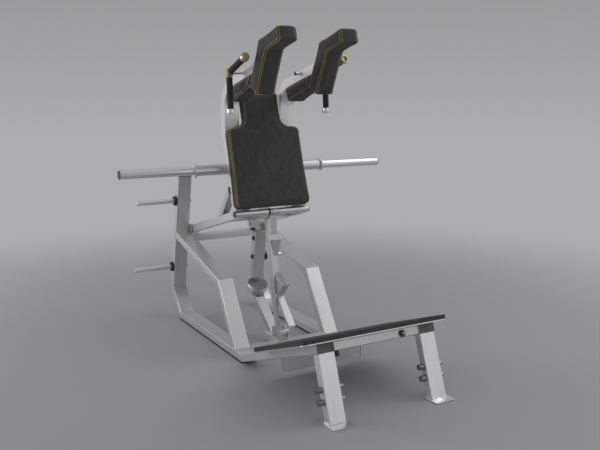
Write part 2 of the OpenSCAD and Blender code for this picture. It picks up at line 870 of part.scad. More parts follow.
module back_tube(s)
  color(SILVER)
    difference() {
      back_tube_body(s * back_x, tube_w, back_t, 0);
      back_tube_body(s * back_x, tube_w - 2 * wall, back_t - 2 * wall, past);
      along_x(rod_mid, s * back_x, tube_w + 2 * past, rod_d + 2 * pin_gap);
    }

module braces()
  color(SILVER)
    both_sides()
      side_tube(brace_foot, brace_top, [brace_foot, arm_dir], [brace_top, back_dir], arm_x, arm_t, brace_t);

// Weight bar
module weight_bar()
  color(SILVER)
    difference() {
      union() {
        along_x(bar_mid, 0, 2 * collar_x, bar_d);
        both_sides()
          along_x(bar_mid, collar_x - collar_t / 2, collar_t, collar_d);
      }
      along_x(bar_mid, 0, 2 * collar_x + 2 * past, bar_d * 0.7);
    }

module bar_sleeves()
  color(CHROME)
    both_sides()
      difference() {
        along_x(bar_mid, (collar_x + sleeve_x) / 2, sleeve_x - collar_x, sleeve_d);
        along_x(bar_mid, (collar_x + sleeve_x) / 2, sleeve_x - collar_x + 2 * past, sleeve_d * 0.7);
      }

module bar_saddles()
  let (
    near = bar_mid + back_fwd * (bar_d / 2 + seat_gap),
    far = bar_mid + back_fwd * bar_d / 8,
    reach = back_dir * bar_d * 0.6
  )
    color(SILVER)
      both_sides()
        difference() {
          side([near - reach, far - reach, far + reach, near + reach], back_x, saddle_w);
          along_x(bar_mid, back_x, saddle_w + 2 * past, bar_d + 2 * pin_gap);
        }

// Back pad, drawn flat with its lower edge at the bottom and then leaned back
back_pad_corners = [
  [-back_pad_low_w / 2, 0],
  [back_pad_low_w / 2, 0],
  [back_pad_top_w / 2, back_pad_body],
  [neck_w / 2, back_pad_body + 14],
  [neck_w / 2, back_pad_len],
  [-neck_w / 2, back_pad_len],
  [-neck_w / 2, back_pad_body + 14],
  [-back_pad_top_w / 2, back_pad_body]
];
back_pad_radii = [40, 40, 42, 44, 20, 20, 44, 42];
back_pad_bows = [draw_in, draw_in, 0, 0, draw_in, 0, 0, draw_in];
back_pad_outline = outline(back_pad_corners, back_pad_radii, back_pad_bows);
module on_back(p)
  translate([0, p.x, p.y])
    rotate([90 - back_lean, 0, 0])
      children();

module back_pad()
  color(FABRIC)
    on_back(pad_foot + back_fwd * seat_gap)
      board_cushion(back_pad_outline, [0, back_pad_body * 0.88], back_pad_t);

module back_board()
  color(BLACK)
    on_back(pad_foot - back_fwd * back_board_t)
      linear_extrude(back_board_t)
        polygon(inset(back_pad_outline, draw_in + 3));

// Shoulder pads
module front_pad(s)
  color(FABRIC)
    block_cushion(outline(front_pad_shape, [16, 14, 30, 14, 14, 30], [1, 1, 1, draw_in, 0, 1]),
      (leg_bend + nose_rear) / 2, pad_w, nose_w, s * back_x);

module shoulder_pad(s)
  color(FABRIC)
    block_cushion(outline(shoulder_pad_shape, [12, 12, 20, 16, 14, 14], [0, 0, draw_in, 1, 0, 0]),
      (shoulder_pad_shape[0] + shoulder_pad_shape[3]) / 2, pad_w, pad_w, s * back_x);

module pad_plates()
  color(BLACK)
    both_sides()
      side([
        meet(bow_end + end_down * back_t / 2, end_dir, plate_far, leg_dir),
        plate_far + leg_dir * front_pad_leg * 0.75,
        plate_near + leg_dir * front_pad_leg * 0.75,
        meet(bow_end + end_down * back_t / 2, end_dir, plate_near, leg_dir)
      ], back_x, tube_w * 0.8);

// Handles: a rod through each back tube, a knuckle and two grips
up_dir = [-cos(grip_rise), sin(grip_rise)];
down_dir = [-sin(grip_lean), -cos(grip_lean)];
grip_from = knuckle_d / 2 + 2;
module handle_frames()
  color(CHAMPAGNE)
    both_sides()
      union() {
        along_x(rod_mid, (rod_in_x + handle_x) / 2, handle_x - rod_in_x, rod_d);
        along_x(rod_mid, handle_x, grip_d, knuckle_d);
        along_yz(rod_mid, handle_x, up_dir, 0, grip_from + grip_up, handle_d);
        along_yz(rod_mid, handle_x, down_dir, 0, grip_from + grip_down, handle_d);
      }

module grip(dir, len)
  difference() {
    along_yz(rod_mid, handle_x, dir, grip_from, len, grip_d);
    along_yz(rod_mid, handle_x, dir, 0, 2 * len, handle_d + 2 * pin_gap);
  }

module handle_grips()
  color(RUBBER)
    both_sides() {
      grip(up_dir, grip_up);
      grip(down_dir, grip_down);
    }

module handle_caps()
  color(CHAMPAGNE)
    both_sides() {
      along_yz(rod_mid, handle_x, up_dir, grip_from + grip_up, cap_len, cap_d);
      along_yz(rod_mid, handle_x, down_dir, grip_from + grip_down, cap_len, cap_d);
    }

// Stop post under the carriage
flange_w = post_w + 50;
flange_d = post_t + 22;
module on_post(from)
  translate([0, post_top.x, post_top.y])
    rotate([post_lean, 0, 0])
      translate([0, 0, from])
        children();

module post_socket()
  color(BLACK)
    union() {
      side_tube(post_top + post_dir * flange_t, lower_cross,
        [post_top + post_dir * flange_t, left(post_dir)], [lower_cross - arm_up * arm_t / 2, arm_dir],
        0, post_w, post_t);
      on_post(flange_t / 2)
        cube([flange_w, flange_d, flange_t], center = true);
    }

module stop_post()
  color(SILVER)
    difference() {
      union() {
        side(strip(post_top, post_low, post_t, [post_top, left(post_dir)], [post_low, left(post_dir)]),
          0, post_w);
        on_post(-flange_t / 2)
          cube([flange_w, flange_d, flange_t], center = true);
      }
      side(strip(post_top, post_low, post_t - 2 * wall, [post_top + post_dir * past, left(post_dir)],
        [post_low + post_dir * 2 * wall, left(post_dir)]), 0, post_w - 2 * wall);
    }

module post_bolts()
  color(CHROME)
    both_sides() {
      on_post(flange_t + nut_t / 2)
        translate([(flange_w + post_w) / 4, 0, 0])
          cylinder(h = nut_t, d = nut_w * 0.8 / cos(30), center = true, $fn = 6);
      for (share = [0.17, 0.56])
        hex_x(post_top + (post_low - post_top) * share, post_w / 2 + nut_t / 2);
    }

// Bumper that takes the stop post
module on_bumper(from)
  translate([0, bumper_face.x, bumper_face.y])
    rotate([bumper_tilt, 0, 0])
      translate([0, 0, from])
        children();

module bumper_strut()
  color(SILVER)
    union() {
      side_tube(strut_foot, strut_top, [strut_foot, [1, 0]], [strut_top, left(bumper_up)],
        0, strut_w, strut_t);
      on_bumper(-bumper_h - cup_t)
        cylinder(h = cup_t, d = bumper_d * 0.9);
    }

module bumper()
  color(RUBBER)
    on_bumper(-bumper_h)
      cylinder(h = bumper_h, d = bumper_d);

// Support foot: it hangs from the rest bar and stands on the lever's catch
module rest_foot()
  color(SILVER)
    difference() {
      union() {
        intersection() {
          along_x(rest_bar, clamp_x, clamp_w, rest_d + 2 * clamp_wall);
          side([
            rest_bar + [-rest_d, -rest_d],
            rest_bar + [rest_d, -rest_d],
            rest_bar + [rest_d, rest_r * 0.6],
            rest_bar + [0, rest_r * 0.6],
            rest_bar + [-clamp_wall, rest_r - past],
            rest_bar + [-rest_d, rest_r - past]
          ], clamp_x, clamp_w + past);
        }
        side([
          rest_bar + [-2, -rest_r],
          rest_bar + [0, -rest_z + lever_pivot.y + catch_r - 40],
          rest_bar + [25, -rest_z + lever_pivot.y + catch_r - 40],
          rest_bar + [rest_r + 3, -rest_r - 40],
          rest_bar + [rest_r + 3, -rest_r]
        ], (foot_w - lever_t) / 2 + 5, foot_w);
      }
      along_x(rest_bar, 0, 2 * foot_w + 40, rest_d + 2 * pin_gap);
      catch_cylinder(catch_gap);
    }

module catch_cylinder(gap)
  translate([0, lever_pivot.x, lever_pivot.y])
    rotate([0, 90, 0])
      cylinder(h = 4 * catch_w, r = catch_r + gap, center = true, $fn = 360);

// Lock lever
function round_end(p, flip) = [
  for (i = [0:12])
    p + turn(i * 15 - lever_lean + flip) * stem_w / 2
];
module lever_stem()
  color(SILVER)
    difference() {
      union() {
        side(concat(round_end(on_lever(stem_reach - stem_w / 2, 0), 0), round_end(lever_pivot, 180)),
          stem_x + stem_t / 2, stem_t);
        along_x(lever_pivot, 0, lever_t, lever_hub_d);
      }
      along_x(lever_pivot, 0, 4 * lever_t, lever_pin_d + 2 * pin_gap);
    }

module lever_tube()
  color(SILVER)
    side_tube(on_lever(lever_tube_up, -lever_set), on_lever(catch_low, -lever_set),
      [on_lever(lever_tube_up, -lever_set), lever_fwd], [on_lever(catch_low, -lever_set), lever_fwd],
      0, lever_t, lever_t);

module lever_catch()
  color(SILVER)
    union() {
      intersection() {
        union() {
          side([
            on_lever(catch_low, catch_front),
            on_lever(catch_low, tube_back),
            on_lever(catch_r + 20, tube_back),
            on_lever(catch_r + 20, catch_front)
          ], (catch_w - lever_t) / 2, catch_w);
          side([
            on_lever(catch_low, catch_front),
            on_lever(catch_low, stem_w / 2 + lay_gap),
            on_lever(catch_r + 20, stem_w / 2 + lay_gap),
            on_lever(catch_r + 20, catch_front)
          ], catch_w - (lever_t + catch_lip_w) / 2, catch_lip_w);
        }
        catch_cylinder(0);
      }
      side([
        on_lever(catch_low + past, tube_face),
        on_lever(catch_low + past, catch_web_out),
        on_lever(catch_low - catch_web, tube_face)
      ], 0, lever_t);
    }

module foot_pedal()
  let (
    dir = unit(pedal_end - pedal_root),
    down = left(dir) * pedal_t
  )
    color(SILVER)
      union() {
        side([
          on_lever(pedal_box_up, tube_face),
          on_lever(pedal_box_mid, pedal_box_out),
          pedal_root,
          on_lever(lever_tube_up, tube_face)
        ], 0, lever_t);
        side([pedal_root - dir * 12, pedal_end, pedal_end + down, pedal_root - dir * 12 + down], 0, lever_t);
      }

// Clevis and pin of the lock lever
cheek_in = [stem_x - cheek_gap, lever_t / 2 + cheek_gap];
module lever_clevis()
  color(SILVER)
    difference() {
      union() {
        for (x = [cheek_in[0] - cheek_t / 2, cheek_in[1] + cheek_t / 2]) {
          along_x(lever_pivot, x, cheek_t, stem_w);
          side([
            [lever_pivot.x - stem_w / 2, rail_top],
            [lever_pivot.x + stem_w, rail_top],
            [lever_pivot.x + stem_w, lever_pivot.y + stem_w * 0.8],
            [lever_pivot.x + stem_w / 2, lever_pivot.y + stem_w * 0.8],
            lever_pivot,
            lever_pivot - [stem_w / 2, 0]
          ], x, cheek_t);
        }
        side([
          on_lever(20, -stem_w / 2 - catch_gap),
          on_lever(20, -stem_w / 2 - 12),
          on_lever(34, -stem_w / 2 - 12),
          on_lever(34, -stem_w / 2 - catch_gap)
        ], (cheek_in[0] + cheek_in[1]) / 2, cheek_in[1] - cheek_in[0] + past);
      }
      along_x(lever_pivot, 0, 4 * lever_t, lever_pin_d + 2 * pin_gap);
    }

module lever_pin()
  color(CHROME)
    along_x(lever_pivot, (cheek_in[0] + cheek_in[1]) / 2, cheek_in[1] - cheek_in[0] + 2 * cheek_t + 12,
      lever_pin_d);

upright(-1);  // left_upright
upright(1);  // right_upright
base_rail(-1);  // left_base_rail
base_rail(1);  // right_base_rail
platform_beam(-1);  // left_platform_beam
platform_beam(1);  // right_platform_beam
front_leg(-1);  // left_front_leg
front_leg(1);  // right_front_leg
top_rail(-1);  // left_top_rail
top_rail(1);  // right_top_rail
base_strips();
tube_plugs();
base_cross_tube();
lever_base();
rear_cross_tube();
front_cross_tube();
cover_panel();
foot_platform();
platform_mat();
platform_support(-1);  // left_platform_support
platform_support(1);  // right_platform_support
storage_pegs();
peg_collars();
base_bolts();
pivot_brackets();
pivot_pins();
bumper_strut();
bumper();
lever_clevis();
lever_pin();
carriage_arm(-1);  // left_arm
carriage_arm(1);  // right_arm
rest_bar_tube();  // rest_bar
bar_end_plugs();
carriage_cross_tube();
back_tube(-1);  // left_back_tube
back_tube(1);  // right_back_tube
braces();
weight_bar();
bar_sleeves();
bar_saddles();
back_board();
back_pad();
front_pad(-1);  // left_front_pad
front_pad(1);  // right_front_pad
shoulder_pad(-1);  // left_shoulder_pad
shoulder_pad(1);  // right_shoulder_pad
pad_plates();
handle_frames();
handle_grips();
handle_caps();
post_socket();
stop_post();
post_bolts();
rest_foot();
lever_stem();
lever_tube();
lever_catch();
foot_pedal();
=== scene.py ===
import math
import bmesh
import bpy
from mathutils import Matrix, Vector
from mathutils.bvhtree import BVHTree
from mathutils.kdtree import KDTree


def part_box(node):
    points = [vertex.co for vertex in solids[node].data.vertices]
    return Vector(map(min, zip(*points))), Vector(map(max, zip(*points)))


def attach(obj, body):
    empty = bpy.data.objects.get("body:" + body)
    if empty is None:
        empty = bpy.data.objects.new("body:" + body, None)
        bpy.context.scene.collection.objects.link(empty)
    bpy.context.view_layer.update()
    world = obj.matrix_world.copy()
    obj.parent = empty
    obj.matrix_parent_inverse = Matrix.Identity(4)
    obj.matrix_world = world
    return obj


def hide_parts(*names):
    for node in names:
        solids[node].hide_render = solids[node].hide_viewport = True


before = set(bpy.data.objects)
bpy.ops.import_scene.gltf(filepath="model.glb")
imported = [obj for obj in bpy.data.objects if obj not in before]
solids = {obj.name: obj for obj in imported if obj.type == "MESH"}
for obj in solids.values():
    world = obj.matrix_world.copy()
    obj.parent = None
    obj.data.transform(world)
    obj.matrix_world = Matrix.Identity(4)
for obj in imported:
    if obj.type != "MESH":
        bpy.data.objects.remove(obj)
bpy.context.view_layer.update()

bpy.ops.object.select_all(action="DESELECT")

# Studio: a pale floor without an edge, seen from the front left at eye height.
# A wide lamp high on the right throws the shadow to the left, a low one on the left
# lights the outer faces, and two soft boxes at the front right light the slopes.
scene = bpy.context.scene
scene.view_settings.view_transform = "Standard"
bpy.ops.mesh.primitive_circle_add(vertices=96, radius=60, fill_type="NGON", location=(0, 0, -0.0006))
floor = bpy.context.object
floor.name = "floor"
floor_paint = bpy.data.materials.new("floor_paint")
floor_paint.use_nodes = True
tree = floor_paint.node_tree
shader = tree.nodes["Principled BSDF"]
shader.inputs["Base Color"].default_value = (0.42, 0.42, 0.43, 1)
shader.inputs["Roughness"].default_value = 0.75
where = tree.nodes.new("ShaderNodeTexCoord")
away = tree.nodes.new("ShaderNodeVectorMath")
away.operation = "LENGTH"
fade = tree.nodes.new("ShaderNodeMapRange")
fade.interpolation_type = "SMOOTHSTEP"
fade.inputs["From Min"].default_value = 1.5
fade.inputs["From Max"].default_value = 4.6
clear = tree.nodes.new("ShaderNodeBsdfTransparent")
blend = tree.nodes.new("ShaderNodeMixShader")
tree.links.new(where.outputs["Object"], away.inputs[0])
tree.links.new(away.outputs["Value"], fade.inputs["Value"])
tree.links.new(fade.outputs["Result"], blend.inputs["Fac"])
tree.links.new(shader.outputs["BSDF"], blend.inputs[1])
tree.links.new(clear.outputs["BSDF"], blend.inputs[2])
tree.links.new(blend.outputs["Shader"], tree.nodes["Material Output"].inputs["Surface"])
floor.data.materials.append(floor_paint)

sky = bpy.data.worlds.new("studio_sky")
scene.world = sky
sky.use_nodes = True
tree = sky.node_tree
where = tree.nodes.new("ShaderNodeTexCoord")
split = tree.nodes.new("ShaderNodeSeparateXYZ")
ramp = tree.nodes.new("ShaderNodeValToRGB")
tree.links.new(where.outputs["Generated"], split.inputs["Vector"])
height = tree.nodes.new("ShaderNodeMapRange")
height.inputs["From Min"].default_value = -1
tree.links.new(split.outputs["Z"], height.inputs["Value"])
tree.links.new(height.outputs["Result"], ramp.inputs["Fac"])
ramp.color_ramp.elements[0].position = 0.30
ramp.color_ramp.elements[0].color = (0.30, 0.30, 0.31, 1)
ramp.color_ramp.elements[1].position = 0.90
ramp.color_ramp.elements[1].color = (0.44, 0.44, 0.45, 1)
for spot, grey in ((0.40, 0.42), (0.47, 0.42), (0.56, 0.32), (0.70, 0.28)):
    ramp.color_ramp.elements.new(spot).color = (grey, grey, grey * 1.02, 1)
tree.links.new(ramp.outputs["Color"], tree.nodes["Background"].inputs["Color"])
tree.nodes["Background"].inputs["Strength"].default_value = 1.0


def lamp(name, spot, aim, size, power):
    light = bpy.data.lights.new(name, "AREA")
    light.shape = "RECTANGLE"
    light.size, light.size_y = size
    light.energy = power
    holder = bpy.data.objects.new(name, light)
    holder.location = spot
    holder.rotation_euler = (Vector(aim) - Vector(spot)).to_track_quat("-Z", "Y").to_euler()
    holder.visible_camera = False
    scene.collection.objects.link(holder)


lamp("lamp_key", (3.4, -0.5, 3.4), (0, 0, 0.4), (3.6, 3.6), 40)
lamp("lamp_left", (-4.6, 2.4, 1.5), (0, 0, 0.5), (3.0, 2.0), 85)
lamp("lamp_low", (1.6, -3.6, 1.1), (0.1, -0.6, 0.3), (2.4, 1.6), 5.5)
lamp("lamp_high", (2.4, -1.7, 2.3), (0.3, 0.1, 0.3), (2.2, 2.2), 4.5)

lens = bpy.data.cameras.new("photo_camera")
lens.sensor_fit = "HORIZONTAL"
lens.sensor_width = 36
lens.lens = 44.68
camera = bpy.data.objects.new("photo_camera", lens)
camera.location = (-1.9853, -3.5961, 1.4592)
camera.rotation_euler = (math.radians(79.91), 0, math.radians(-29.82))
scene.collection.objects.link(camera)
scene.camera = camera


# Side frames: two loops of rectangular steel tube, 90 by 45 mm, mitred at the
# knees and welded. The corners of the tube are drawn to a small radius, and the
# satin silver coat shows hairlines along each length.
def only(piece):
    bpy.ops.object.select_all(action="DESELECT")
    piece.select_set(True)
    bpy.context.view_layer.objects.active = piece


def skin_of(node, name):
    piece = solids[node].copy()
    piece.data = solids[node].data.copy()
    piece.name = name
    piece.data.name = name
    piece.parent = None
    piece.hide_viewport = False
    piece.hide_render = False
    for key in list(piece.keys()):
        del piece[key]
    piece.data.materials.clear()
    scene.collection.objects.link(piece)
    piece.hide_set(False)
    only(piece)
    bpy.ops.object.mode_set(mode="EDIT")
    bpy.ops.mesh.select_all(action="SELECT")
    bpy.ops.mesh.remove_doubles(threshold=1e-5)
    bpy.ops.mesh.dissolve_limited(angle_limit=math.radians(0.4))
    bpy.ops.object.mode_set(mode="OBJECT")
    return piece


def use(piece, kind, **settings):
    step = piece.modifiers.new(kind.lower(), kind)
    for key, value in settings.items():
        setattr(step, key, value)
    only(piece)
    bpy.ops.object.modifier_apply(modifier=step.name)


def round_edges(piece, radius, shortest, keep=None, sharp=40, segments=3):
    only(piece)
    bpy.ops.object.mode_set(mode="EDIT")
    bpy.ops.mesh.select_mode(type="EDGE")
    bpy.ops.mesh.select_all(action="DESELECT")
    shape = bmesh.from_edit_mesh(piece.data)
    for edge in shape.edges:
        if len(edge.link_faces) == 2 and edge.is_convex and edge.calc_length() > shortest:
            if edge.calc_face_angle() > math.radians(sharp) and (keep is None or keep(edge)):
                edge.select_set(True)
    bmesh.update_edit_mesh(piece.data)
    bpy.ops.mesh.bevel(offset=radius, segments=segments, profile=0.5, affect="EDGES", clamp_overlap=True)
    bpy.ops.object.mode_set(mode="OBJECT")
    smooth(piece)
    use(piece, "WEIGHTED_NORMAL", keep_sharp=True, weight=60)


def smooth(piece, angle=32):
    only(piece)
    bpy.ops.object.shade_smooth_by_angle(angle=math.radians(angle))


def dress(piece, finish, body, slot, *stands_for):
    piece.data.materials.clear()
    piece.data.materials.append(finish)
    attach(piece, body)
    if stands_for:
        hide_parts(*stands_for)


def wire(tree, start, socket, end, goal):
    tree.links.new(start.outputs[socket], end.inputs[goal])


def satin_steel(name, along, light=0.74, rough=0.37, metal=0.88):
    coat = bpy.data.materials.new(name)
    coat.use_nodes = True
    tree = coat.node_tree
    shader = tree.nodes["Principled BSDF"]
    where = tree.nodes.new("ShaderNodeTexCoord")
    along = Vector(along).normalized()
    place = tree.nodes.new("ShaderNodeMapping")
    place.vector_type = "TEXTURE"
    place.inputs["Rotation"].default_value = Vector((1, 0, 0)).rotation_difference(along).to_euler()
    place.inputs["Scale"].default_value = (0.45, 0.0018, 0.0018)
    wire(tree, where, "Object", place, "Vector")
    hair = tree.nodes.new("ShaderNodeTexNoise")
    hair.inputs["Scale"].default_value = 1.0
    hair.inputs["Detail"].default_value = 4.0
    wire(tree, place, "Vector", hair, "Vector")
    cloud = tree.nodes.new("ShaderNodeTexNoise")
    cloud.inputs["Scale"].default_value = 5.0
    cloud.inputs["Detail"].default_value = 3.0
    wire(tree, where, "Object", cloud, "Vector")
    both = tree.nodes.new("ShaderNodeMix")
    both.inputs["Factor"].default_value = 0.35
    wire(tree, hair, "Fac", both, "A")
    wire(tree, cloud, "Fac", both, "B")
    tone = tree.nodes.new("ShaderNodeValToRGB")
    tone.color_ramp.elements[0].position = 0.30
    tone.color_ramp.elements[0].color = (light * 0.90, light * 0.90, light * 0.905, 1)
    tone.color_ramp.elements[1].position = 0.70
    tone.color_ramp.elements[1].color = (light * 1.08, light * 1.08, light * 1.08, 1)
    wire(tree, both, "Result", tone, "Fac")
    wire(tree, tone, "Color", shader, "Base Color")
    gloss = tree.nodes.new("ShaderNodeMapRange")
    gloss.inputs["To Min"].default_value = rough + 0.08
    gloss.inputs["To Max"].default_value = rough - 0.08
    wire(tree, both, "Result", gloss, "Value")
    wire(tree, gloss, "Result", shader, "Roughness")
    relief = tree.nodes.new("ShaderNodeBump")
    relief.inputs["Strength"].default_value = 0.05
    relief.inputs["Distance"].default_value = 0.0006
    wire(tree, hair, "Fac", relief, "Height")
    wire(tree, relief, "Normal", shader, "Normal")
    shader.inputs["Metallic"].default_value = metal
    return coat


upright_dir = (0, -0.20346, 0.97908)
top_rail_dir = (0, 0.96857, 0.24876)
front_leg_dir = (0, 0.53092, 0.84743)
beam_dir = (0, -0.93758, 0.34776)
satin_upright = satin_steel("satin_upright", upright_dir)
satin_rail = satin_steel("satin_rail", (0, 1, 0))
satin_beam = satin_steel("satin_beam", beam_dir)
satin_leg = satin_steel("satin_leg", front_leg_dir, 0.74)
satin_top_rail = satin_steel("satin_top_rail", top_rail_dir)
for side in ("left", "right"):
    for part, coat in (("upright", satin_upright), ("base_rail", satin_rail), ("platform_beam", satin_beam),
                       ("front_leg", satin_leg), ("top_rail", satin_top_rail)):
        tube = skin_of(f"{side}_{part}", f"{side}_{part}_tube")
        round_edges(tube, 0.005, 0.10)
        dress(tube, coat, "base", "frame_steel", f"{side}_{part}")


# Weld beads of the base: a run of small overlapping drops along each joint where
# one tube stands on another, ground a little and coated with the tubes.
def cut_loop(node, point, normal):
    piece = skin_of(node, "cutting")
    bpy.ops.object.mode_set(mode="EDIT")
    bpy.ops.mesh.select_all(action="SELECT")
    bpy.ops.mesh.bisect(plane_co=point, plane_no=normal, clear_inner=True, clear_outer=True)
    bpy.ops.object.mode_set(mode="OBJECT")
    links = {}
    for edge in piece.data.edges:
        a, b = edge.vertices
        links.setdefault(a, []).append(b)
        links.setdefault(b, []).append(a)
    loops = []
    left = set(links)
    while left:
        start = left.pop()
        loop = [start]
        step = [n for n in links[start] if n in left]
        while step:
            loop.append(step[0])
            left.discard(step[0])
            step = [n for n in links[step[0]] if n in left]
        loops.append([piece.data.vertices[i].co.copy() for i in loop])
    bpy.data.objects.remove(piece)
    return max(loops, key=lambda loop: sum((p - q).length for p, q in zip(loop, loop[1:] + loop[:1])))


def evenly(loop, pitch):
    ring = loop + loop[:1]
    total = sum((q - p).length for p, q in zip(ring, ring[1:]))
    count = max(8, round(total / pitch))
    points = []
    walked = 0.0
    for p, q in zip(ring, ring[1:]):
        length = (q - p).length
        while len(points) < count and len(points) * total / count < walked + length + 1e-9:
            points.append(p.lerp(q, (len(points) * total / count - walked) / max(length, 1e-9)))
        walked += length
    return points


def weld(name, node, point, normal, radius=0.0024):
    points = evenly(cut_loop(node, point, normal), 0.003)
    path = bpy.data.curves.new(name, "CURVE")
    path.dimensions = "3D"
    path.bevel_depth = radius
    path.bevel_resolution = 2
    line = path.splines.new("POLY")
    line.points.add(len(points) - 1)
    for i, p in enumerate(points):
        line.points[i].co = (*p, 1)
        line.points[i].radius = 1.0 + 0.16 * math.sin(i * 1.9)
    line.use_cyclic_u = True
    bead = bpy.data.objects.new(name, path)
    scene.collection.objects.link(bead)
    only(bead)
    bpy.ops.object.convert(target="MESH")
    bead = bpy.context.object
    bpy.ops.object.shade_smooth()
    return bead


def join(name, pieces):
    bpy.ops.object.select_all(action="DESELECT")
    for piece in pieces:
        piece.select_set(True)
    bpy.context.view_layer.objects.active = pieces[0]
    bpy.ops.object.join()
    whole = bpy.context.object
    whole.name = name
    whole.data.name = name
    return whole


satin_weld = satin_steel("satin_weld", (1, 0, 0), 0.64, 0.42)
upright_face = Vector((0, 0.91638, 0.560)) + Vector((0, -0.97908, -0.20346)) * 0.0231
beads = []
for side, x in (("left", -0.2444), ("right", 0.2444)):
    beads.append(weld("bead", f"{side}_front_leg", (0, 0, 0.0536), (0, 0, 1)))
    beads.append(weld("bead", f"{side}_top_rail", upright_face, (0, 0.97908, 0.20346)))
    beads.append(weld("bead", f"{side}_platform_support", (0, 0, 0.0068), (0, 0, 1)))
    for node in ("base_cross_tube", "rear_cross_tube", "front_cross_tube", "cover_panel"):
        beads.append(weld("bead", node, (x, 0, 0), (1, 0, 0)))
beads.append(weld("bead", "lever_base", (0, 0.0517, 0), (0, 1, 0)))
beads.append(weld("bead", "bumper_strut", (0, 0, 0.0537), (0, 0, 1)))
base_welds = join("base_welds", beads)
dress(base_welds, satin_weld, "base", "frame_steel")

# Cross tubes of the base: a flat tube between the base rails, a square one between
# the top rails, one at the platform's front, the short box under the lever, and the
# cover panel, a steel plate. All have the frame's coat; the front tube's copy is darker,
# painted shade for the shadow under the mat, and the panel's is lighter, painted light
# against the shade under the platform.
satin_cross = satin_steel("satin_cross", (1, 0, 0))
# A darker copy of the frame's coat for the front tube: painted shade for the shadow under the mat.
satin_painted_shade = satin_steel("satin_painted_shade", (1, 0, 0), 0.56)
# A lighter copy of the frame's coat for the cover panel: painted light against the shade under the platform.
satin_panel_painted_light = satin_steel("satin_panel_painted_light", (1, 0, 0), 0.90, 0.50, 0.60)
for node, radius, coat in (("base_cross_tube", 0.005, satin_cross), ("rear_cross_tube", 0.005, satin_cross),
                           ("front_cross_tube", 0.005, satin_painted_shade), ("cover_panel", 0.0015, satin_panel_painted_light)):
    tube = skin_of(node, node + "_skin")
    round_edges(tube, radius, 0.20)
    dress(tube, coat, "base", "frame_steel", node)
box = skin_of("lever_base", "lever_base_box")
round_edges(box, 0.004, 0.10)
round_edges(box, 0.002, 0.03, lambda edge: min(v.co.y for v in edge.verts) > 0.21)
dress(box, satin_rail, "base", "frame_steel", "lever_base")


# Rubber strips under the base rails and black plugs in the open tube ends. The
# plugs are moulded plastic with a soft rim and a slightly sunk middle.
def moulded(name, colour, rough, grain, bump):
    stuff = bpy.data.materials.new(name)
    stuff.use_nodes = True
    tree = stuff.node_tree
    shader = tree.nodes["Principled BSDF"]
    where = tree.nodes.new("ShaderNodeTexCoord")
    fine = tree.nodes.new("ShaderNodeTexNoise")
    fine.inputs["Scale"].default_value = grain
    fine.inputs["Detail"].default_value = 3.0
    wire(tree, where, "Object", fine, "Vector")
    worn = tree.nodes.new("ShaderNodeTexNoise")
    worn.inputs["Scale"].default_value = 18.0
    worn.inputs["Detail"].default_value = 5.0
    wire(tree, where, "Object", worn, "Vector")
    tone = tree.nodes.new("ShaderNodeValToRGB")
    tone.color_ramp.elements[0].position = 0.35
    tone.color_ramp.elements[0].color = (*[c * 0.78 for c in colour], 1)
    tone.color_ramp.elements[1].position = 0.72
    tone.color_ramp.elements[1].color = (*[c * 1.3 for c in colour], 1)
    wire(tree, worn, "Fac", tone, "Fac")
    wire(tree, tone, "Color", shader, "Base Color")
    gloss = tree.nodes.new("ShaderNodeMapRange")
    gloss.inputs["To Min"].default_value = rough - 0.09
    gloss.inputs["To Max"].default_value = rough + 0.09
    wire(tree, worn, "Fac", gloss, "Value")
    wire(tree, gloss, "Result", shader, "Roughness")
    relief = tree.nodes.new("ShaderNodeBump")
    relief.inputs["Strength"].default_value = bump
    relief.inputs["Distance"].default_value = 0.0005
    wire(tree, fine, "Fac", relief, "Height")
    wire(tree, relief, "Normal", shader, "Normal")
    return stuff


black_plastic = moulded("black_plastic", (0.050, 0.050, 0.052), 0.46, 900, 0.25)
black_rubber = moulded("black_rubber", (0.026, 0.026, 0.027), 0.68, 500, 0.4)
strips = skin_of("base_strips", "rubber_strips")
round_edges(strips, 0.0015, 0.005)
dress(strips, black_rubber, "base", "rubber", "base_strips")

plugs = skin_of("tube_plugs", "tube_end_plugs")
only(plugs)
bpy.ops.object.mode_set(mode="EDIT")
bpy.ops.mesh.select_mode(type="FACE")
bpy.ops.mesh.select_all(action="DESELECT")
shape = bmesh.from_edit_mesh(plugs.data)
for face in shape.faces:
    if face.normal.dot(Vector(beam_dir)) > 0.99 or face.normal.dot(Vector(upright_dir)) > 0.99:
        face.select_set(True)
bmesh.update_edit_mesh(plugs.data)
bpy.ops.mesh.inset(thickness=0.006, depth=0.0)
bpy.ops.mesh.inset(thickness=0.002, depth=-0.0015)
bpy.ops.object.mode_set(mode="OBJECT")
round_edges(plugs, 0.0016, 0.03, lambda edge: edge.calc_face_angle() > 1.3, segments=3)
plug_plastic = moulded("plug_plastic", (0.120, 0.120, 0.121), 0.50, 900, 0.25)
dress(plugs, plug_plastic, "base", "black_plastic", "tube_plugs")

# Foot platform: a steel plate with round corners, screwed to the two beams, and a
# glued rubber mat with ribs that run down the slope. The plate's edge is bright.
plate_steel = satin_steel("plate_steel", (1, 0, 0), 0.74, 0.28, 0.95)
plate = skin_of("foot_platform", "platform_plate")
round_edges(plate, 0.0018, 0.0, sharp=60, segments=2)
dress(plate, plate_steel, "base", "platform_steel", "foot_platform")
mat_rubber = moulded("mat_rubber", (0.042, 0.042, 0.043), 0.66, 420, 0.45)
mat = skin_of("platform_mat", "ribbed_mat")
round_edges(mat, 0.0008, 0.03, sharp=60, segments=2)
dress(mat, mat_rubber, "base", "rubber", "platform_mat")

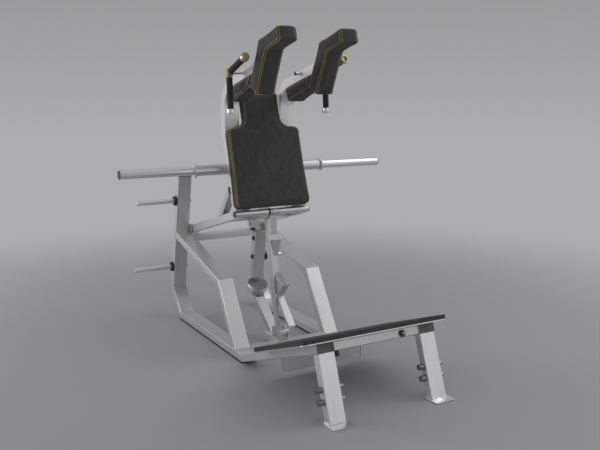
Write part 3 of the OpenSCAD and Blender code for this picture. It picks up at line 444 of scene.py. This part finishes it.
# Platform supports: flat tubes that lean forward under the beams' ends, each
# welded to a foot plate and held by two bolts.
satin_support = satin_steel("satin_support", (0, -0.104, -0.29), 0.84)
for side in ("left", "right"):
    leg = skin_of(f"{side}_platform_support", f"{side}_support_leg")
    round_edges(leg, 0.005, 0.20)
    round_edges(leg, 0.0012, 0.05, lambda edge: max(v.co.z for v in edge.verts) < 0.0065)
    dress(leg, satin_support, "base", "frame_steel", f"{side}_platform_support")


# Storage pegs: plated bars through the uprights, each with a rubber collar against
# the tube and a nut on the inner side. The bar's end is turned to a soft edge.
def turned(name, profile, base, axis, steps=48, sharp=32):
    base = Vector(base)
    axis = Vector(axis).normalized()
    out = axis.orthogonal().normalized()
    points = [base + out * r + axis * h for r, h in profile]
    bpy.ops.object.select_all(action="DESELECT")
    bpy.ops.mesh.primitive_plane_add(size=0.01)
    piece = bpy.context.object
    piece.name = name
    bpy.ops.object.mode_set(mode="EDIT")
    bpy.ops.mesh.select_mode(type="VERT")
    bpy.ops.mesh.merge(type="CENTER")
    bpy.ops.transform.translate(value=points[0])
    for start, end in zip(points, points[1:]):
        bpy.ops.mesh.extrude_region_move(TRANSFORM_OT_translate={"value": end - start})
    bpy.ops.mesh.select_all(action="SELECT")
    bpy.ops.mesh.spin(steps=steps, angle=2 * math.pi, center=base, axis=axis)
    bpy.ops.mesh.select_all(action="SELECT")
    bpy.ops.mesh.remove_doubles(threshold=1e-5)
    bpy.ops.mesh.normals_make_consistent(inside=False)
    bpy.ops.object.mode_set(mode="OBJECT")
    smooth(piece, sharp)
    return piece


def plated(name, light, rough):
    finish = bpy.data.materials.new(name)
    finish.use_nodes = True
    tree = finish.node_tree
    shader = tree.nodes["Principled BSDF"]
    where = tree.nodes.new("ShaderNodeTexCoord")
    place = tree.nodes.new("ShaderNodeMapping")
    place.inputs["Scale"].default_value = (260, 14, 14)
    wire(tree, where, "Object", place, "Vector")
    lathe = tree.nodes.new("ShaderNodeTexNoise")
    lathe.inputs["Scale"].default_value = 1.0
    lathe.inputs["Detail"].default_value = 3.0
    wire(tree, place, "Vector", lathe, "Vector")
    tone = tree.nodes.new("ShaderNodeValToRGB")
    tone.color_ramp.elements[0].position = 0.3
    tone.color_ramp.elements[0].color = (*[c * 0.95 for c in light], 1)
    tone.color_ramp.elements[1].position = 0.7
    tone.color_ramp.elements[1].color = (*[c * 1.04 for c in light], 1)
    wire(tree, lathe, "Fac", tone, "Fac")
    wire(tree, tone, "Color", shader, "Base Color")
    gloss = tree.nodes.new("ShaderNodeMapRange")
    gloss.inputs["To Min"].default_value = rough - 0.02
    gloss.inputs["To Max"].default_value = rough + 0.03
    wire(tree, lathe, "Fac", gloss, "Value")
    wire(tree, gloss, "Result", shader, "Roughness")
    shader.inputs["Metallic"].default_value = 1.0
    return finish


def on_upright(z):
    knee_y, knee_z = 0.9925, 0.1937
    return knee_y + (z - knee_z) * upright_dir[1] / upright_dir[2]


bright_plate = plated("bright_plate", (0.88, 0.88, 0.88), 0.34)
frame_out, frame_in = 0.335, 0.245
peg_heights = (0.333, 0.780)
peg_profile = [(0, 0), (0.0145, 0), (0.0145, 0.255), (0.0135, 0.2572), (0.0115, 0.258), (0, 0.258)]
collar_profile = [(0.0147, 0.0002), (0.029, 0.0002), (0.0305, 0.0018), (0.0305, 0.0115), (0.0295, 0.0145),
                  (0.0270, 0.016), (0.0185, 0.016), (0.0170, 0.0148), (0.0147, 0.0148), (0.0147, 0.0002)]
pegs = []
collars = []
for z in peg_heights:
    for s in (-1, 1):
        spot = (s * frame_out, on_upright(z), z)
        pegs.append(turned("peg", peg_profile, spot, (s, 0, 0), 32))
        collars.append(turned("collar", collar_profile, spot, (s, 0, 0), 40))
pegs = join("storage_pegs_bar", pegs)
dress(pegs, bright_plate, "base", "chrome", "storage_pegs")
collars = join("peg_collars_rubber", collars)
dress(collars, black_rubber, "base", "rubber", "peg_collars")


# Bolts and nuts of the base: plated hexagons on thin washers inside the pegs, long
# round bolts with domed nuts through the supports, and two small black knobs.
def hexagon(name, spot, axis, across, thick):
    spot = Vector(spot)
    axis = Vector(axis).normalized()
    bpy.ops.object.select_all(action="DESELECT")
    bpy.ops.mesh.primitive_cylinder_add(vertices=6, radius=across / math.sqrt(3), depth=thick)
    head = bpy.context.object
    head.name = name
    bpy.ops.object.mode_set(mode="EDIT")
    bpy.ops.mesh.select_mode(type="FACE")
    bpy.ops.mesh.select_all(action="DESELECT")
    shape = bmesh.from_edit_mesh(head.data)
    for face in shape.faces:
        face.select_set(face.normal.z > 0.9)
    bmesh.update_edit_mesh(head.data)
    bpy.ops.mesh.inset(thickness=across * 0.10, depth=thick * 0.10)
    bpy.ops.mesh.inset(thickness=across * 0.16, depth=0)
    bpy.ops.mesh.extrude_region_move(TRANSFORM_OT_translate={"value": (0, 0, thick * 0.25)})
    bpy.ops.object.mode_set(mode="OBJECT")
    turn = Vector((0, 0, 1)).rotation_difference(axis).to_matrix().to_4x4()
    head.data.transform(Matrix.Translation(spot + axis * (thick / 2 + 0.0015)) @ turn)
    round_edges(head, 0.0006, 0.0, sharp=25, segments=2)
    rim = [(0, 0), (across * 0.68, 0), (across * 0.72, 0.0005), (across * 0.70, 0.0015), (0, 0.0015)]
    ring = turned("washer", rim, spot, axis, 28)
    return [head, ring]


zinc = plated("zinc", (0.50, 0.50, 0.51), 0.46)
dark_zinc = plated("dark_zinc", (0.26, 0.26, 0.265), 0.36)
nut_across, nut_thick = 0.022, 0.007
support_x, tube_half = 0.290, 0.045
nut_profile = [(0, 0), (0.0096, 0), (0.0100, 0.0006), (0.0100, 0.0190), (0.0088, 0.0232), (0.0060, 0.0264),
               (0, 0.0280)]
head_profile = [(0, 0), (0.0145, 0), (0.0150, 0.0006), (0.0150, 0.0272), (0.0138, 0.0294), (0.0112, 0.0300),
                (0.0100, 0.0286), (0, 0.0286)]
bolts = []
heads = []
for s in (-1, 1):
    for z in peg_heights:
        bolts += hexagon("nut", (s * frame_in, on_upright(z), z), (-s, 0, 0), nut_across, nut_thick)
    for share in (0.51, 0.69):
        y = -0.854729 - 0.104 * share
        z = 0.296079 - 0.290079 * share
        bolts.append(turned("nut", nut_profile, (s * support_x + tube_half, y, z), (1, 0, 0), 28))
        heads.append(turned("head", head_profile, (s * support_x - tube_half, y, z), (-1, 0, 0), 36))
bolts = join("base_bolt_nuts", bolts)
dress(bolts, zinc, "base", "chrome", "base_bolts")
heads = join("support_bolt_heads", heads)
dress(heads, dark_zinc, "base", "chrome")
knob = turned("support_knob", [(0, 0), (0.0075, 0), (0.0075, 0.0060), (0.0130, 0.0080), (0.0142, 0.0105),
                               (0.0142, 0.0205), (0.0128, 0.0235), (0.0100, 0.0245), (0, 0.0240)],
              (-frame_in, -0.868, 0.288), (1, 0, 0), 36)
on_cross_tube = (0.144, -0.8652, 0.3208)
tip_plate = turned("cross_tube_plate", [(0, 0), (0.0165, 0), (0.0175, 0.0010), (0.0175, 0.0060),
                                        (0.0160, 0.0080), (0, 0.0080)], on_cross_tube, beam_dir, 36)
tip = turned("cross_tube_tip", [(0, 0.0081), (0.0078, 0.0081), (0.0078, 0.0150), (0.0066, 0.0180),
                                (0.0040, 0.0192), (0, 0.0195)], on_cross_tube, beam_dir, 28)
knobs = join("base_knobs", [knob, tip_plate])
dress(knobs, black_plastic, "base", "black_plastic")
dress(tip, zinc, "base", "chrome")

# Carriage pivots: a welded bracket plate at each upright, a pin through the arm's
# hub, and a dark keeper ring on the pin's inner end.
satin_small = satin_steel("satin_small", (0, 0.6, 0.8), 0.62, 0.38)
brackets = skin_of("pivot_brackets", "pivot_bracket_plates")
round_edges(brackets, 0.0012, 0.0, sharp=50, segments=2)
dress(brackets, satin_small, "base", "frame_steel", "pivot_brackets")
pivot_axis = (0.883, 0.588)
bracket_face = 0.237
pin_profile = [(0, 0), (0.0125, 0), (0.0125, 0.057), (0.0196, 0.057), (0.021, 0.0584), (0.021, 0.0612),
               (0.0198, 0.063), (0.0125, 0.063), (0.0112, 0.0618), (0, 0.0618)]
washer_profile = [(0.0128, 0.0002), (0.0325, 0.0002), (0.0330, 0.0006), (0.0330, 0.0012), (0.0325, 0.0016),
                  (0.0128, 0.0016), (0.0128, 0.0002)]
pins = [turned("pin", pin_profile, (s * frame_in, *pivot_axis), (-s, 0, 0), 40) for s in (-1, 1)]
pins = join("pivot_pin_bars", pins)
dress(pins, zinc, "base", "chrome", "pivot_pins")
washers = [turned("washer", washer_profile, (s * bracket_face, *pivot_axis), (-s, 0, 0), 40) for s in (-1, 1)]
washers = join("pivot_washers", washers)
dress(washers, black_plastic, "base", "black_plastic")

# Bumper: a leaning strut with a turned steel cup, and a grey polyurethane disc in a
# rolled steel band, which takes the stop post.
strut = skin_of("bumper_strut", "bumper_strut_tube")
round_edges(strut, 0.003, 0.12)
satin_strut = satin_steel("satin_strut", (0, 0.55, 0.83), 0.54, 0.40)
dress(strut, satin_strut, "base", "frame_steel", "bumper_strut")
grey_rubber = moulded("grey_rubber", (0.275, 0.275, 0.260), 0.60, 380, 0.35)
bumper_dir = (0, -0.39073, 0.92050)
bumper_h = 0.038
seat = (0, 0.390 - bumper_dir[1] * bumper_h, 0.308 - bumper_dir[2] * bumper_h)
disc = turned("bumper_disc", [(0, 0), (0.0605, 0), (0.0605, 0.0366), (0.0598, 0.0377), (0.0582, bumper_h),
                              (0.054, bumper_h), (0.053, 0.0374), (0, 0.0374)], seat, bumper_dir, 64)
dress(disc, grey_rubber, "base", "rubber", "bumper")
band = turned("bumper_band", [(0.0606, 0.0005), (0.0614, 0.0002), (0.0620, 0.0012), (0.0620, 0.0330),
                              (0.0614, 0.0340), (0.0606, 0.0337), (0.0606, 0.0005)], seat, bumper_dir, 64)
dress(band, satin_cross, "base", "frame_steel")

# Clevis of the lock lever: two welded cheeks with a stop bar, and a plated pin with
# a ring groove at each end.
clevis = skin_of("lever_clevis", "clevis_cheeks")
round_edges(clevis, 0.0012, 0.004, sharp=50, segments=2)
dress(clevis, satin_small, "base", "frame_steel", "lever_clevis")
low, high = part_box("lever_pin")
reach = high.x - low.x
pin_end = [(0, 0), (0.0066, 0), (0.008, 0.0014), (0.008, 0.0036), (0.0068, 0.0038), (0.0068, 0.0050),
           (0.008, 0.0052)]
pin_shape = pin_end + [(r, reach - h) for r, h in reversed(pin_end)]
pin = turned("clevis_pin", pin_shape, (low.x, 0.074, 0.080), (1, 0, 0), 32)
dress(pin, zinc, "base", "chrome", "lever_pin")

# Carriage frame: two square arms from the pivots to the rest bar, a cross tube
# between them and two short braces up to the back tubes, all welded.
arm_dir = (0, -0.96394, 0.26613)
satin_arm = satin_steel("satin_arm", arm_dir)
for side in ("left", "right"):
    arm = skin_of(f"{side}_arm", f"{side}_arm_tube")
    round_edges(arm, 0.004, 0.30)
    dress(arm, satin_arm, "carriage", "frame_steel", f"{side}_arm")
tie = skin_of("carriage_cross_tube", "carriage_cross_tube_skin")
round_edges(tie, 0.004, 0.20)
dress(tie, satin_cross, "carriage", "frame_steel", "carriage_cross_tube")
brace_pair = skin_of("braces", "brace_tubes")
round_edges(brace_pair, 0.004, 0.06)
dress(brace_pair, satin_small, "carriage", "frame_steel", "braces")

# Rest bar: a round tube across the arms' ends with black end caps, under the lower
# edge of the back pad. A thin black ring beside its clamp is painted shadow for the
# dark gap there.
rest_axis = (0.193, 0.7785)
weight_axis = (0.350317, 1.021852)
handle_axis = (0.104, 1.56255)
rest_half, sleeve_end, rod_start = 0.2385, 0.844, 0.106
bar = turned("rest_bar_round", [(0.016, 0), (0.0182, 0), (0.019, 0.0008), (0.019, 0.4762), (0.0182, 0.477),
                                (0.016, 0.477), (0.016, 0)], (-rest_half, *rest_axis), (1, 0, 0), 48)
dress(bar, satin_cross, "carriage", "frame_steel", "rest_bar")
rest_cap = [(0, -0.012), (0.0158, -0.012), (0.0158, 0.0002), (0.0186, 0.0002), (0.019, 0.0008), (0.019, 0.0026),
            (0.0172, 0.004), (0, 0.004)]
sleeve_cap = [(0, -0.012), (0.0173, -0.012), (0.0173, 0.0002), (0.0244, 0.0002), (0.025, 0.0008),
              (0.025, 0.0028), (0.0236, 0.004), (0.008, 0.004), (0.007, 0.0032), (0, 0.0032)]
rod_cap = [(0, 0), (0.0104, 0), (0.0112, 0.0008), (0.0112, 0.0030), (0.0098, 0.004), (0, 0.004)]
caps = []
for s in (-1, 1):
    caps.append(turned("cap", rest_cap, (s * rest_half, *rest_axis), (s, 0, 0), 40))
    caps.append(turned("cap", sleeve_cap, (s * sleeve_end, *weight_axis), (s, 0, 0), 40))
    caps.append(turned("cap", rod_cap, (s * rod_start, *handle_axis), (-s, 0, 0), 32))
caps = join("bar_end_caps", caps)
dress(caps, black_plastic, "carriage", "black_plastic", "bar_end_plugs")
# A thin black ring beside the clamp: painted shadow for the dark gap there.
ring = turned("rest_bar_shadow_ring", [(0.0191, 0), (0.0206, 0), (0.0214, 0.0010), (0.0214, 0.0090), (0.0206, 0.0100),
                                (0.0191, 0.0100), (0.0191, 0)], (-0.0285, *rest_axis), (1, 0, 0), 40)
dress(ring, black_rubber, "carriage", "rubber")


# Back tubes: two flat tubes that carry the pads. Each leans with the back pad, turns
# upright, and bows forward over the shoulders in one bend. A stray leaf inside the
# wall, where the bow starts, is left out.
def drop_leaf(piece):
    only(piece)
    bpy.ops.object.mode_set(mode="EDIT")
    bpy.ops.mesh.select_mode(type="FACE")
    bpy.ops.mesh.select_all(action="DESELECT")
    shape = bmesh.from_edit_mesh(piece.data)
    for face in shape.faces:
        face.select_set(any(len(edge.link_faces) == 1 for edge in face.edges))
    bmesh.update_edit_mesh(piece.data)
    bpy.ops.mesh.delete(type="ONLY_FACE")
    bpy.ops.mesh.select_all(action="SELECT")
    bpy.ops.mesh.delete_loose()
    bpy.ops.object.mode_set(mode="OBJECT")


def long_corner(edge):
    on_face = any(all(abs(v.co.x - face) < 2e-4 for v in edge.verts) for face in tube_faces)
    at_end = all(v.co.y < 0 for v in edge.verts) or all(v.co.z < 0.80 for v in edge.verts)
    return on_face and not at_end


back_dir = (0, 0.28402, 0.95882)
back_tube_x = 0.1805
satin_back = satin_steel("satin_back", back_dir)
for side, x in (("left", -back_tube_x), ("right", back_tube_x)):
    tube = skin_of(f"{side}_back_tube", f"{side}_back_tube_skin")
    drop_leaf(tube)
    tube_faces = (x - tube_half, x + tube_half)
    round_edges(tube, 0.005, 0.0, long_corner)
    dress(tube, satin_back, "carriage", "frame_steel", f"{side}_back_tube")

# Weight bar: a thick tube across both back tubes, held in welded saddles. Turned
# collars end it, and bright sleeves for the plates go on from there.
sleeve_start = 0.419
collar_end = [(0.030, 0.407), (0.0405, 0.407), (0.042, 0.4085), (0.042, 0.4175), (0.0405, sleeve_start),
              (0.021, sleeve_start)]
bar_profile = [(r, -h) for r, h in reversed(collar_end)] + collar_end + [(0.021, -sleeve_start)]
thick = turned("weight_bar_tube", bar_profile, (0, *weight_axis), (1, 0, 0), 64)
dress(thick, satin_cross, "carriage", "frame_steel", "weight_bar")
sleeve_profile = [(0.0175, 0), (0.025, 0), (0.025, 0.423), (0.0242, 0.425), (0.0175, 0.425), (0.0175, 0)]
sleeves = []
for s in (-1, 1):
    sleeves.append(turned("sleeve", sleeve_profile, (s * sleeve_start, *weight_axis), (s, 0, 0), 56))
sleeves = join("plate_sleeves", sleeves)
dress(sleeves, bright_plate, "carriage", "chrome", "bar_sleeves")
saddles = skin_of("bar_saddles", "bar_saddle_blocks")
round_edges(saddles, 0.002, 0.0, sharp=50, segments=2)
dress(saddles, satin_small, "carriage", "frame_steel", "bar_saddles")

# Back board: painted plywood behind the back pad, with its edge rounded.
board = skin_of("back_board", "back_board_ply")
round_edges(board, 0.0015, 0.0, sharp=60, segments=2)
board_black = moulded("board_black", (0.045, 0.045, 0.046), 0.55, 260, 0.3)
dress(board, board_black, "carriage", "black_plastic", "back_board")


# Back pad: moulded foam under a charcoal woven cover, sewn from a face panel and a
# side band. A double row of yellow thread runs along the seam.
def woven_cover(name, up):
    cover = bpy.data.materials.new(name)
    cover.use_nodes = True
    tree = cover.node_tree
    shader = tree.nodes["Principled BSDF"]
    where = tree.nodes.new("ShaderNodeTexCoord")
    turn = Vector((0, 0, 1)).rotation_difference(Vector(up).normalized()).to_euler()
    slub = tree.nodes.new("ShaderNodeMapping")
    slub.vector_type = "TEXTURE"
    slub.inputs["Rotation"].default_value = turn
    slub.inputs["Scale"].default_value = (0.0030, 0.0030, 0.040)
    wire(tree, where, "Object", slub, "Vector")
    streak = tree.nodes.new("ShaderNodeTexNoise")
    streak.inputs["Scale"].default_value = 1.0
    streak.inputs["Detail"].default_value = 5.0
    streak.inputs["Roughness"].default_value = 0.65
    wire(tree, slub, "Vector", streak, "Vector")
    grid = tree.nodes.new("ShaderNodeMapping")
    grid.vector_type = "TEXTURE"
    grid.inputs["Rotation"].default_value = turn
    grid.inputs["Scale"].default_value = (0.0016, 0.0016, 0.0016)
    wire(tree, where, "Object", grid, "Vector")
    yarn = tree.nodes.new("ShaderNodeTexVoronoi")
    yarn.inputs["Scale"].default_value = 1.0
    yarn.inputs["Randomness"].default_value = 0.45
    wire(tree, grid, "Vector", yarn, "Vector")
    cloud = tree.nodes.new("ShaderNodeTexNoise")
    cloud.inputs["Scale"].default_value = 26.0
    cloud.inputs["Detail"].default_value = 4.0
    wire(tree, where, "Object", cloud, "Vector")
    both = tree.nodes.new("ShaderNodeMix")
    both.inputs["Factor"].default_value = 0.16
    wire(tree, streak, "Fac", both, "A")
    wire(tree, cloud, "Fac", both, "B")
    tone = tree.nodes.new("ShaderNodeValToRGB")
    tone.color_ramp.elements[0].position = 0.34
    tone.color_ramp.elements[0].color = (0.027, 0.027, 0.028, 1)
    tone.color_ramp.elements[1].position = 0.68
    tone.color_ramp.elements[1].color = (0.095, 0.095, 0.096, 1)
    wire(tree, both, "Result", tone, "Fac")
    wire(tree, tone, "Color", shader, "Base Color")
    shader.inputs["Roughness"].default_value = 0.82
    shader.inputs["Sheen Weight"].default_value = 0.08
    shader.inputs["Sheen Roughness"].default_value = 0.4
    pile = tree.nodes.new("ShaderNodeBump")
    pile.inputs["Strength"].default_value = 0.55
    pile.inputs["Distance"].default_value = 0.0006
    wire(tree, yarn, "Distance", pile, "Height")
    ridge = tree.nodes.new("ShaderNodeBump")
    ridge.inputs["Strength"].default_value = 0.5
    ridge.inputs["Distance"].default_value = 0.0009
    wire(tree, streak, "Fac", ridge, "Height")
    wire(tree, pile, "Normal", ridge, "Normal")
    wire(tree, ridge, "Normal", shader, "Normal")
    return cover


def stuffed(node, name, voxel, shrink, cap, rests):
    pad = skin_of(node, name)
    use(pad, "TRIANGULATE")
    use(pad, "DISPLACE", strength=-shrink, mid_level=0)
    use(pad, "REMESH", mode="VOXEL", voxel_size=voxel)
    start = [v.co.copy() for v in pad.data.vertices]
    held = pad.vertex_groups.new(name="held")
    held.add([v.index for v in pad.data.vertices if rests(v.co)], 1.0, "REPLACE")
    swell = pad.modifiers.new("swell", "CLOTH")
    swell.settings.use_pressure = True
    swell.settings.uniform_pressure_force = 2
    swell.settings.effector_weights.gravity = 0
    swell.settings.vertex_group_mass = "held"
    swell.settings.quality = 4
    last = 20
    swell.point_cache.frame_end = last
    for number in range(1, last + 1):
        scene.frame_set(number)
    swollen = pad.evaluated_get(bpy.context.evaluated_depsgraph_get())
    ends = [v.co.copy() for v in swollen.data.vertices]
    scene.frame_set(1)
    pad.modifiers.remove(swell)
    for v, a, b in zip(pad.data.vertices, start, ends):
        move = b - a
        if move.length > cap:
            move = move.normalized() * cap
        v.co = a + move
    pad.vertex_groups.remove(held)
    only(pad)
    use(pad, "SMOOTH", factor=0.5, iterations=1)
    use(pad, "SUBSURF", levels=1, render_levels=1)
    return pad


def sew(pad, loops, depth=0.0016, reach=0.0045):
    tree = KDTree(sum(len(loop) for loop in loops))
    index = 0
    for loop in loops:
        for p in loop:
            tree.insert(p, index)
            index += 1
    tree.balance()
    normals = [v.normal.copy() for v in pad.data.vertices]
    for v, n in zip(pad.data.vertices, normals):
        spot, found, away = tree.find(v.co)
        if away < reach * 2:
            v.co -= n * depth * math.exp(-(away / reach) ** 2 * 2.2)
    pad.data.update()
    only(pad)
    bpy.ops.object.shade_smooth()


def stitches(name, pad, loops, pitch=0.0094, keep=None):
    bpy.ops.object.select_all(action="DESELECT")
    bpy.ops.mesh.primitive_uv_sphere_add(segments=6, ring_count=4, radius=1.0)
    one = bpy.context.object
    bpy.ops.object.mode_set(mode="EDIT")
    bpy.ops.mesh.select_all(action="SELECT")
    bpy.ops.transform.resize(value=(0.0012, 0.0009, 0.0040))
    bpy.ops.object.mode_set(mode="OBJECT")
    skin = BVHTree.FromObject(pad, bpy.context.evaluated_depsgraph_get())
    row = bmesh.new()
    for loop in loops:
        points = evenly(loop, pitch)
        for i, p in enumerate(points):
            if keep and not keep(p):
                continue
            spot, normal, face, away = skin.find_nearest(p)
            ahead = points[(i + 1) % len(points)] - points[i - 1]
            ahead = (ahead - normal * ahead.dot(normal)).normalized()
            across = normal.cross(ahead)
            turn = Matrix((across, normal, ahead)).transposed().to_4x4()
            first = len(row.verts)
            row.from_mesh(one.data)
            row.verts.ensure_lookup_table()
            place = Matrix.Translation(spot + normal * 0.0003) @ turn
            bmesh.ops.transform(row, matrix=place, verts=row.verts[first:])
    bpy.data.objects.remove(one)
    mesh = bpy.data.meshes.new(name)
    row.to_mesh(mesh)
    row.free()
    thread = bpy.data.objects.new(name, mesh)
    scene.collection.objects.link(thread)
    smooth(thread, 60)
    return thread


def twisted_thread(name, colour):
    thread = bpy.data.materials.new(name)
    thread.use_nodes = True
    tree = thread.node_tree
    shader = tree.nodes["Principled BSDF"]
    where = tree.nodes.new("ShaderNodeTexCoord")
    twist = tree.nodes.new("ShaderNodeTexWave")
    twist.bands_direction = "DIAGONAL"
    twist.inputs["Scale"].default_value = 420
    twist.inputs["Distortion"].default_value = 1.5
    wire(tree, where, "Object", twist, "Vector")
    tone = tree.nodes.new("ShaderNodeValToRGB")
    tone.color_ramp.elements[0].color = (*[c * 0.7 for c in colour], 1)
    tone.color_ramp.elements[1].color = (*[min(1, c * 1.15) for c in colour], 1)
    wire(tree, twist, "Color", tone, "Fac")
    wire(tree, tone, "Color", shader, "Base Color")
    shader.inputs["Roughness"].default_value = 0.6
    return thread


lean = Vector(back_dir)
front = Vector((0, -back_dir[2], back_dir[1]))
foot = Vector((0, 0.19218, 0.79887))
cover_back = woven_cover("cover_back", lean)
yellow_thread = twisted_thread("yellow_thread", (0.88, 0.74, 0.24))
back_pad = stuffed("back_pad", "back_pad_cushion", 0.0062, 0.003, 0.004,
                   lambda p: (p - foot).dot(front) < 0.006)
seam = evenly(cut_loop("back_pad", foot + front * 0.0440, front), 0.003)
sew(back_pad, [seam])
dress(back_pad, cover_back, "carriage", "pad_leather", "back_pad")
rows = [cut_loop("back_pad", foot + front * h, front) for h in (0.0365, 0.0482)]
back_thread = stitches("back_pad_thread", back_pad, rows,
                       keep=lambda p: (p - foot).dot(lean) > 0.03 or abs(p.x) > 0.225)
dress(back_thread, yellow_thread, "carriage", "pad_leather")


# Shoulder and front pads: foam blocks under the same cover, sewn along both flanks
# with the double yellow row. Each is screwed to its tube through a black plate. A front
# pad's leg narrows a little towards its nose, and its rows follow that.
def flank_loop(node, x, s, share):
    wide, narrow = 0.124, (0.120 if "front" in node else 0.124)
    leg, foot_y, foot_z = 0.269, -0.0831, 1.4401
    loop = []
    for p in cut_loop(node, (x + s * (0.5 - share) * narrow, 0, 0), (1, 0, 0)):
        up = (p.y - foot_y) * front_pad_dir[1] + (p.z - foot_z) * front_pad_dir[2]
        here = wide + (narrow - wide) * min(1, max(0, up / leg - 0.5))
        loop.append(Vector((x + s * (0.5 - share) * here, p.y, p.z)))
    return loop


front_pad_dir = (0, -0.43837, 0.89879)
cover_front = woven_cover("cover_front", front_pad_dir)
for side, x in (("left", -back_tube_x), ("right", back_tube_x)):
    for kind in ("front_pad", "shoulder_pad"):
        node = f"{side}_{kind}"
        pad = stuffed(node, f"{node}_cushion", 0.0040, 0.0015, 0.003, lambda p: False)
        sew(pad, [evenly(flank_loop(node, x, s, 0.055), 0.003) for s in (-1, 1)], 0.0013, 0.004)
        dress(pad, cover_front, "carriage", "pad_leather", node)
        rows = [flank_loop(node, x, s, share) for s in (-1, 1) for share in (0.024, 0.118)]
        thread = stitches(f"{node}_thread", pad, rows)
        dress(thread, yellow_thread, "carriage", "pad_leather")
plates = skin_of("pad_plates", "pad_backing_plates")
round_edges(plates, 0.001, 0.0, sharp=50, segments=2)
dress(plates, black_plastic, "carriage", "black_plastic", "pad_plates")


# Handles: a plated rod through each tube's end, a champagne knuckle, and two tubes with
# ribbed rubber grips. The end caps are anodised: champagne above, silver below.
def ribbed(length):
    pitch = 0.006
    profile = [(0.0126, 0), (0.0165, 0), (0.0175, 0.001), (0.0175, 0.005), (0.0168, 0.006)]
    for i in range(int((length - 0.016) / pitch)):
        h = 0.008 + i * pitch
        profile += [(0.0164, h), (0.0172, h + 0.0012), (0.0172, h + 0.0036), (0.0164, h + 0.0048)]
    return profile + [(0.0168, length - 0.006), (0.0175, length - 0.005), (0.0175, length - 0.001),
                      (0.0165, length), (0.0126, length), (0.0126, 0)]


champagne = plated("champagne_anodised", (0.62, 0.54, 0.38), 0.30)
rise_angle, drop_angle = math.radians(21), math.radians(4)
rise = Vector((0, -math.cos(rise_angle), math.sin(rise_angle)))
drop = Vector((0, -math.sin(drop_angle), -math.cos(drop_angle)))
knuckle_x, grip_start = 0.300, 0.023
rod_profile = [(0, 0), (0.0075, 0), (0.008, 0.0005), (0.008, 0.176), (0, 0.176)]
knuckle_profile = [(0, -0.0175), (0.018, -0.0175), (0.0205, -0.0155), (0.021, -0.012), (0.021, 0.012),
                   (0.0205, 0.0155), (0.018, 0.0175), (0.010, 0.0175), (0.009, 0.0165), (0, 0.0165)]
cap_profile = [(0, 0), (0.0210, 0), (0.0230, 0.0020), (0.0230, 0.0250), (0.0215, 0.0276), (0.0175, 0.028),
               (0.0160, 0.0264), (0.0150, 0.016), (0, 0.016)]
rods, frames, grips, upper_caps, lower_caps = [], [], [], [], []
for s in (-1, 1):
    at = Vector((s * knuckle_x, *handle_axis))
    rods.append(turned("rod", rod_profile, (s * rod_start, *handle_axis), (s, 0, 0), 32))
    frames.append(turned("knuckle", knuckle_profile, at, (s, 0, 0), 40))
    for way, length, caps in ((rise, 0.170, upper_caps), (drop, 0.168, lower_caps)):
        end = grip_start + length
        frames.append(turned("tube", [(0, 0), (0.0125, 0), (0.0125, end), (0, end)], at, way, 32))
        grips.append(turned("grip", ribbed(length), at + way * grip_start, way, 32))
        caps.append(turned("cap", cap_profile, at + way * end, way, 40))
rods = join("handle_rods", rods)
dress(rods, bright_plate, "carriage", "chrome")
frames = join("handle_knuckles", frames)
dress(frames, champagne, "carriage", "champagne", "handle_frames")
grips = join("ribbed_grips", grips)
dress(grips, black_rubber, "carriage", "rubber", "handle_grips")
upper_caps = join("handle_upper_caps", upper_caps)
dress(upper_caps, champagne, "carriage", "champagne", "handle_caps")
lower_caps = join("handle_lower_caps", lower_caps)
dress(lower_caps, bright_plate, "carriage", "chrome")

# Stop post: a socket welded under the carriage's cross tube, and a bolted post with
# a flange. The post comes down on the bumper when the carriage is lowered.
post_dir = Vector((0, -0.14781, 0.98902))
satin_post = satin_steel("satin_post", post_dir, 0.60)
socket = skin_of("post_socket", "post_socket_tube")
round_edges(socket, 0.0025, 0.0, sharp=60, segments=2)
dress(socket, satin_small, "carriage", "frame_steel", "post_socket")
post = skin_of("stop_post", "stop_post_tube")
round_edges(post, 0.0035, 0.10)
dress(post, satin_post, "carriage", "frame_steel", "stop_post")
post_y, post_z, post_drop = 0.361, 0.645, 0.299
flange_t = 0.006
heads = []
for s in (-1, 1):
    for share in (0.17, 0.56):
        y = post_y - post_drop * share * post_dir.y / post_dir.z
        z = post_z - post_drop * share
        heads += hexagon("head", (s * 0.035, y, z), (s, 0, 0), nut_across, nut_thick)
    flange = Vector((s * 0.0475, post_y, post_z)) + post_dir * flange_t
    heads += hexagon("head", flange, post_dir, 0.0176, nut_thick)
heads = join("post_bolt_heads", heads)
dress(heads, black_plastic, "carriage", "chrome", "post_bolts")

# Support foot: a steel block under a round clamp on the rest bar. Its curved sole
# stands on the catch of the lock lever.
sole = skin_of("rest_foot", "rest_foot_block")
round_edges(sole, 0.002, 0.004, sharp=50, segments=2)
dress(sole, satin_small, "carriage", "frame_steel", "rest_foot")

# Lock lever: a flat stem with a hub, a square tube, a catch block with a curved top
# and a pedal. It is pushed forward by the foot to free the carriage.
satin_lever = satin_steel("satin_lever", (0, 0.1942, 0.98096), 0.62)
for node, radius, shortest in (("lever_stem", 0.0015, 0.004), ("lever_tube", 0.004, 0.10),
                               ("lever_catch", 0.002, 0.006), ("foot_pedal", 0.003, 0.006)):
    piece = skin_of(node, node + "_skin")
    round_edges(piece, radius, shortest, sharp=45, segments=2)
    dress(piece, satin_lever, "lock_lever", "frame_steel", node)
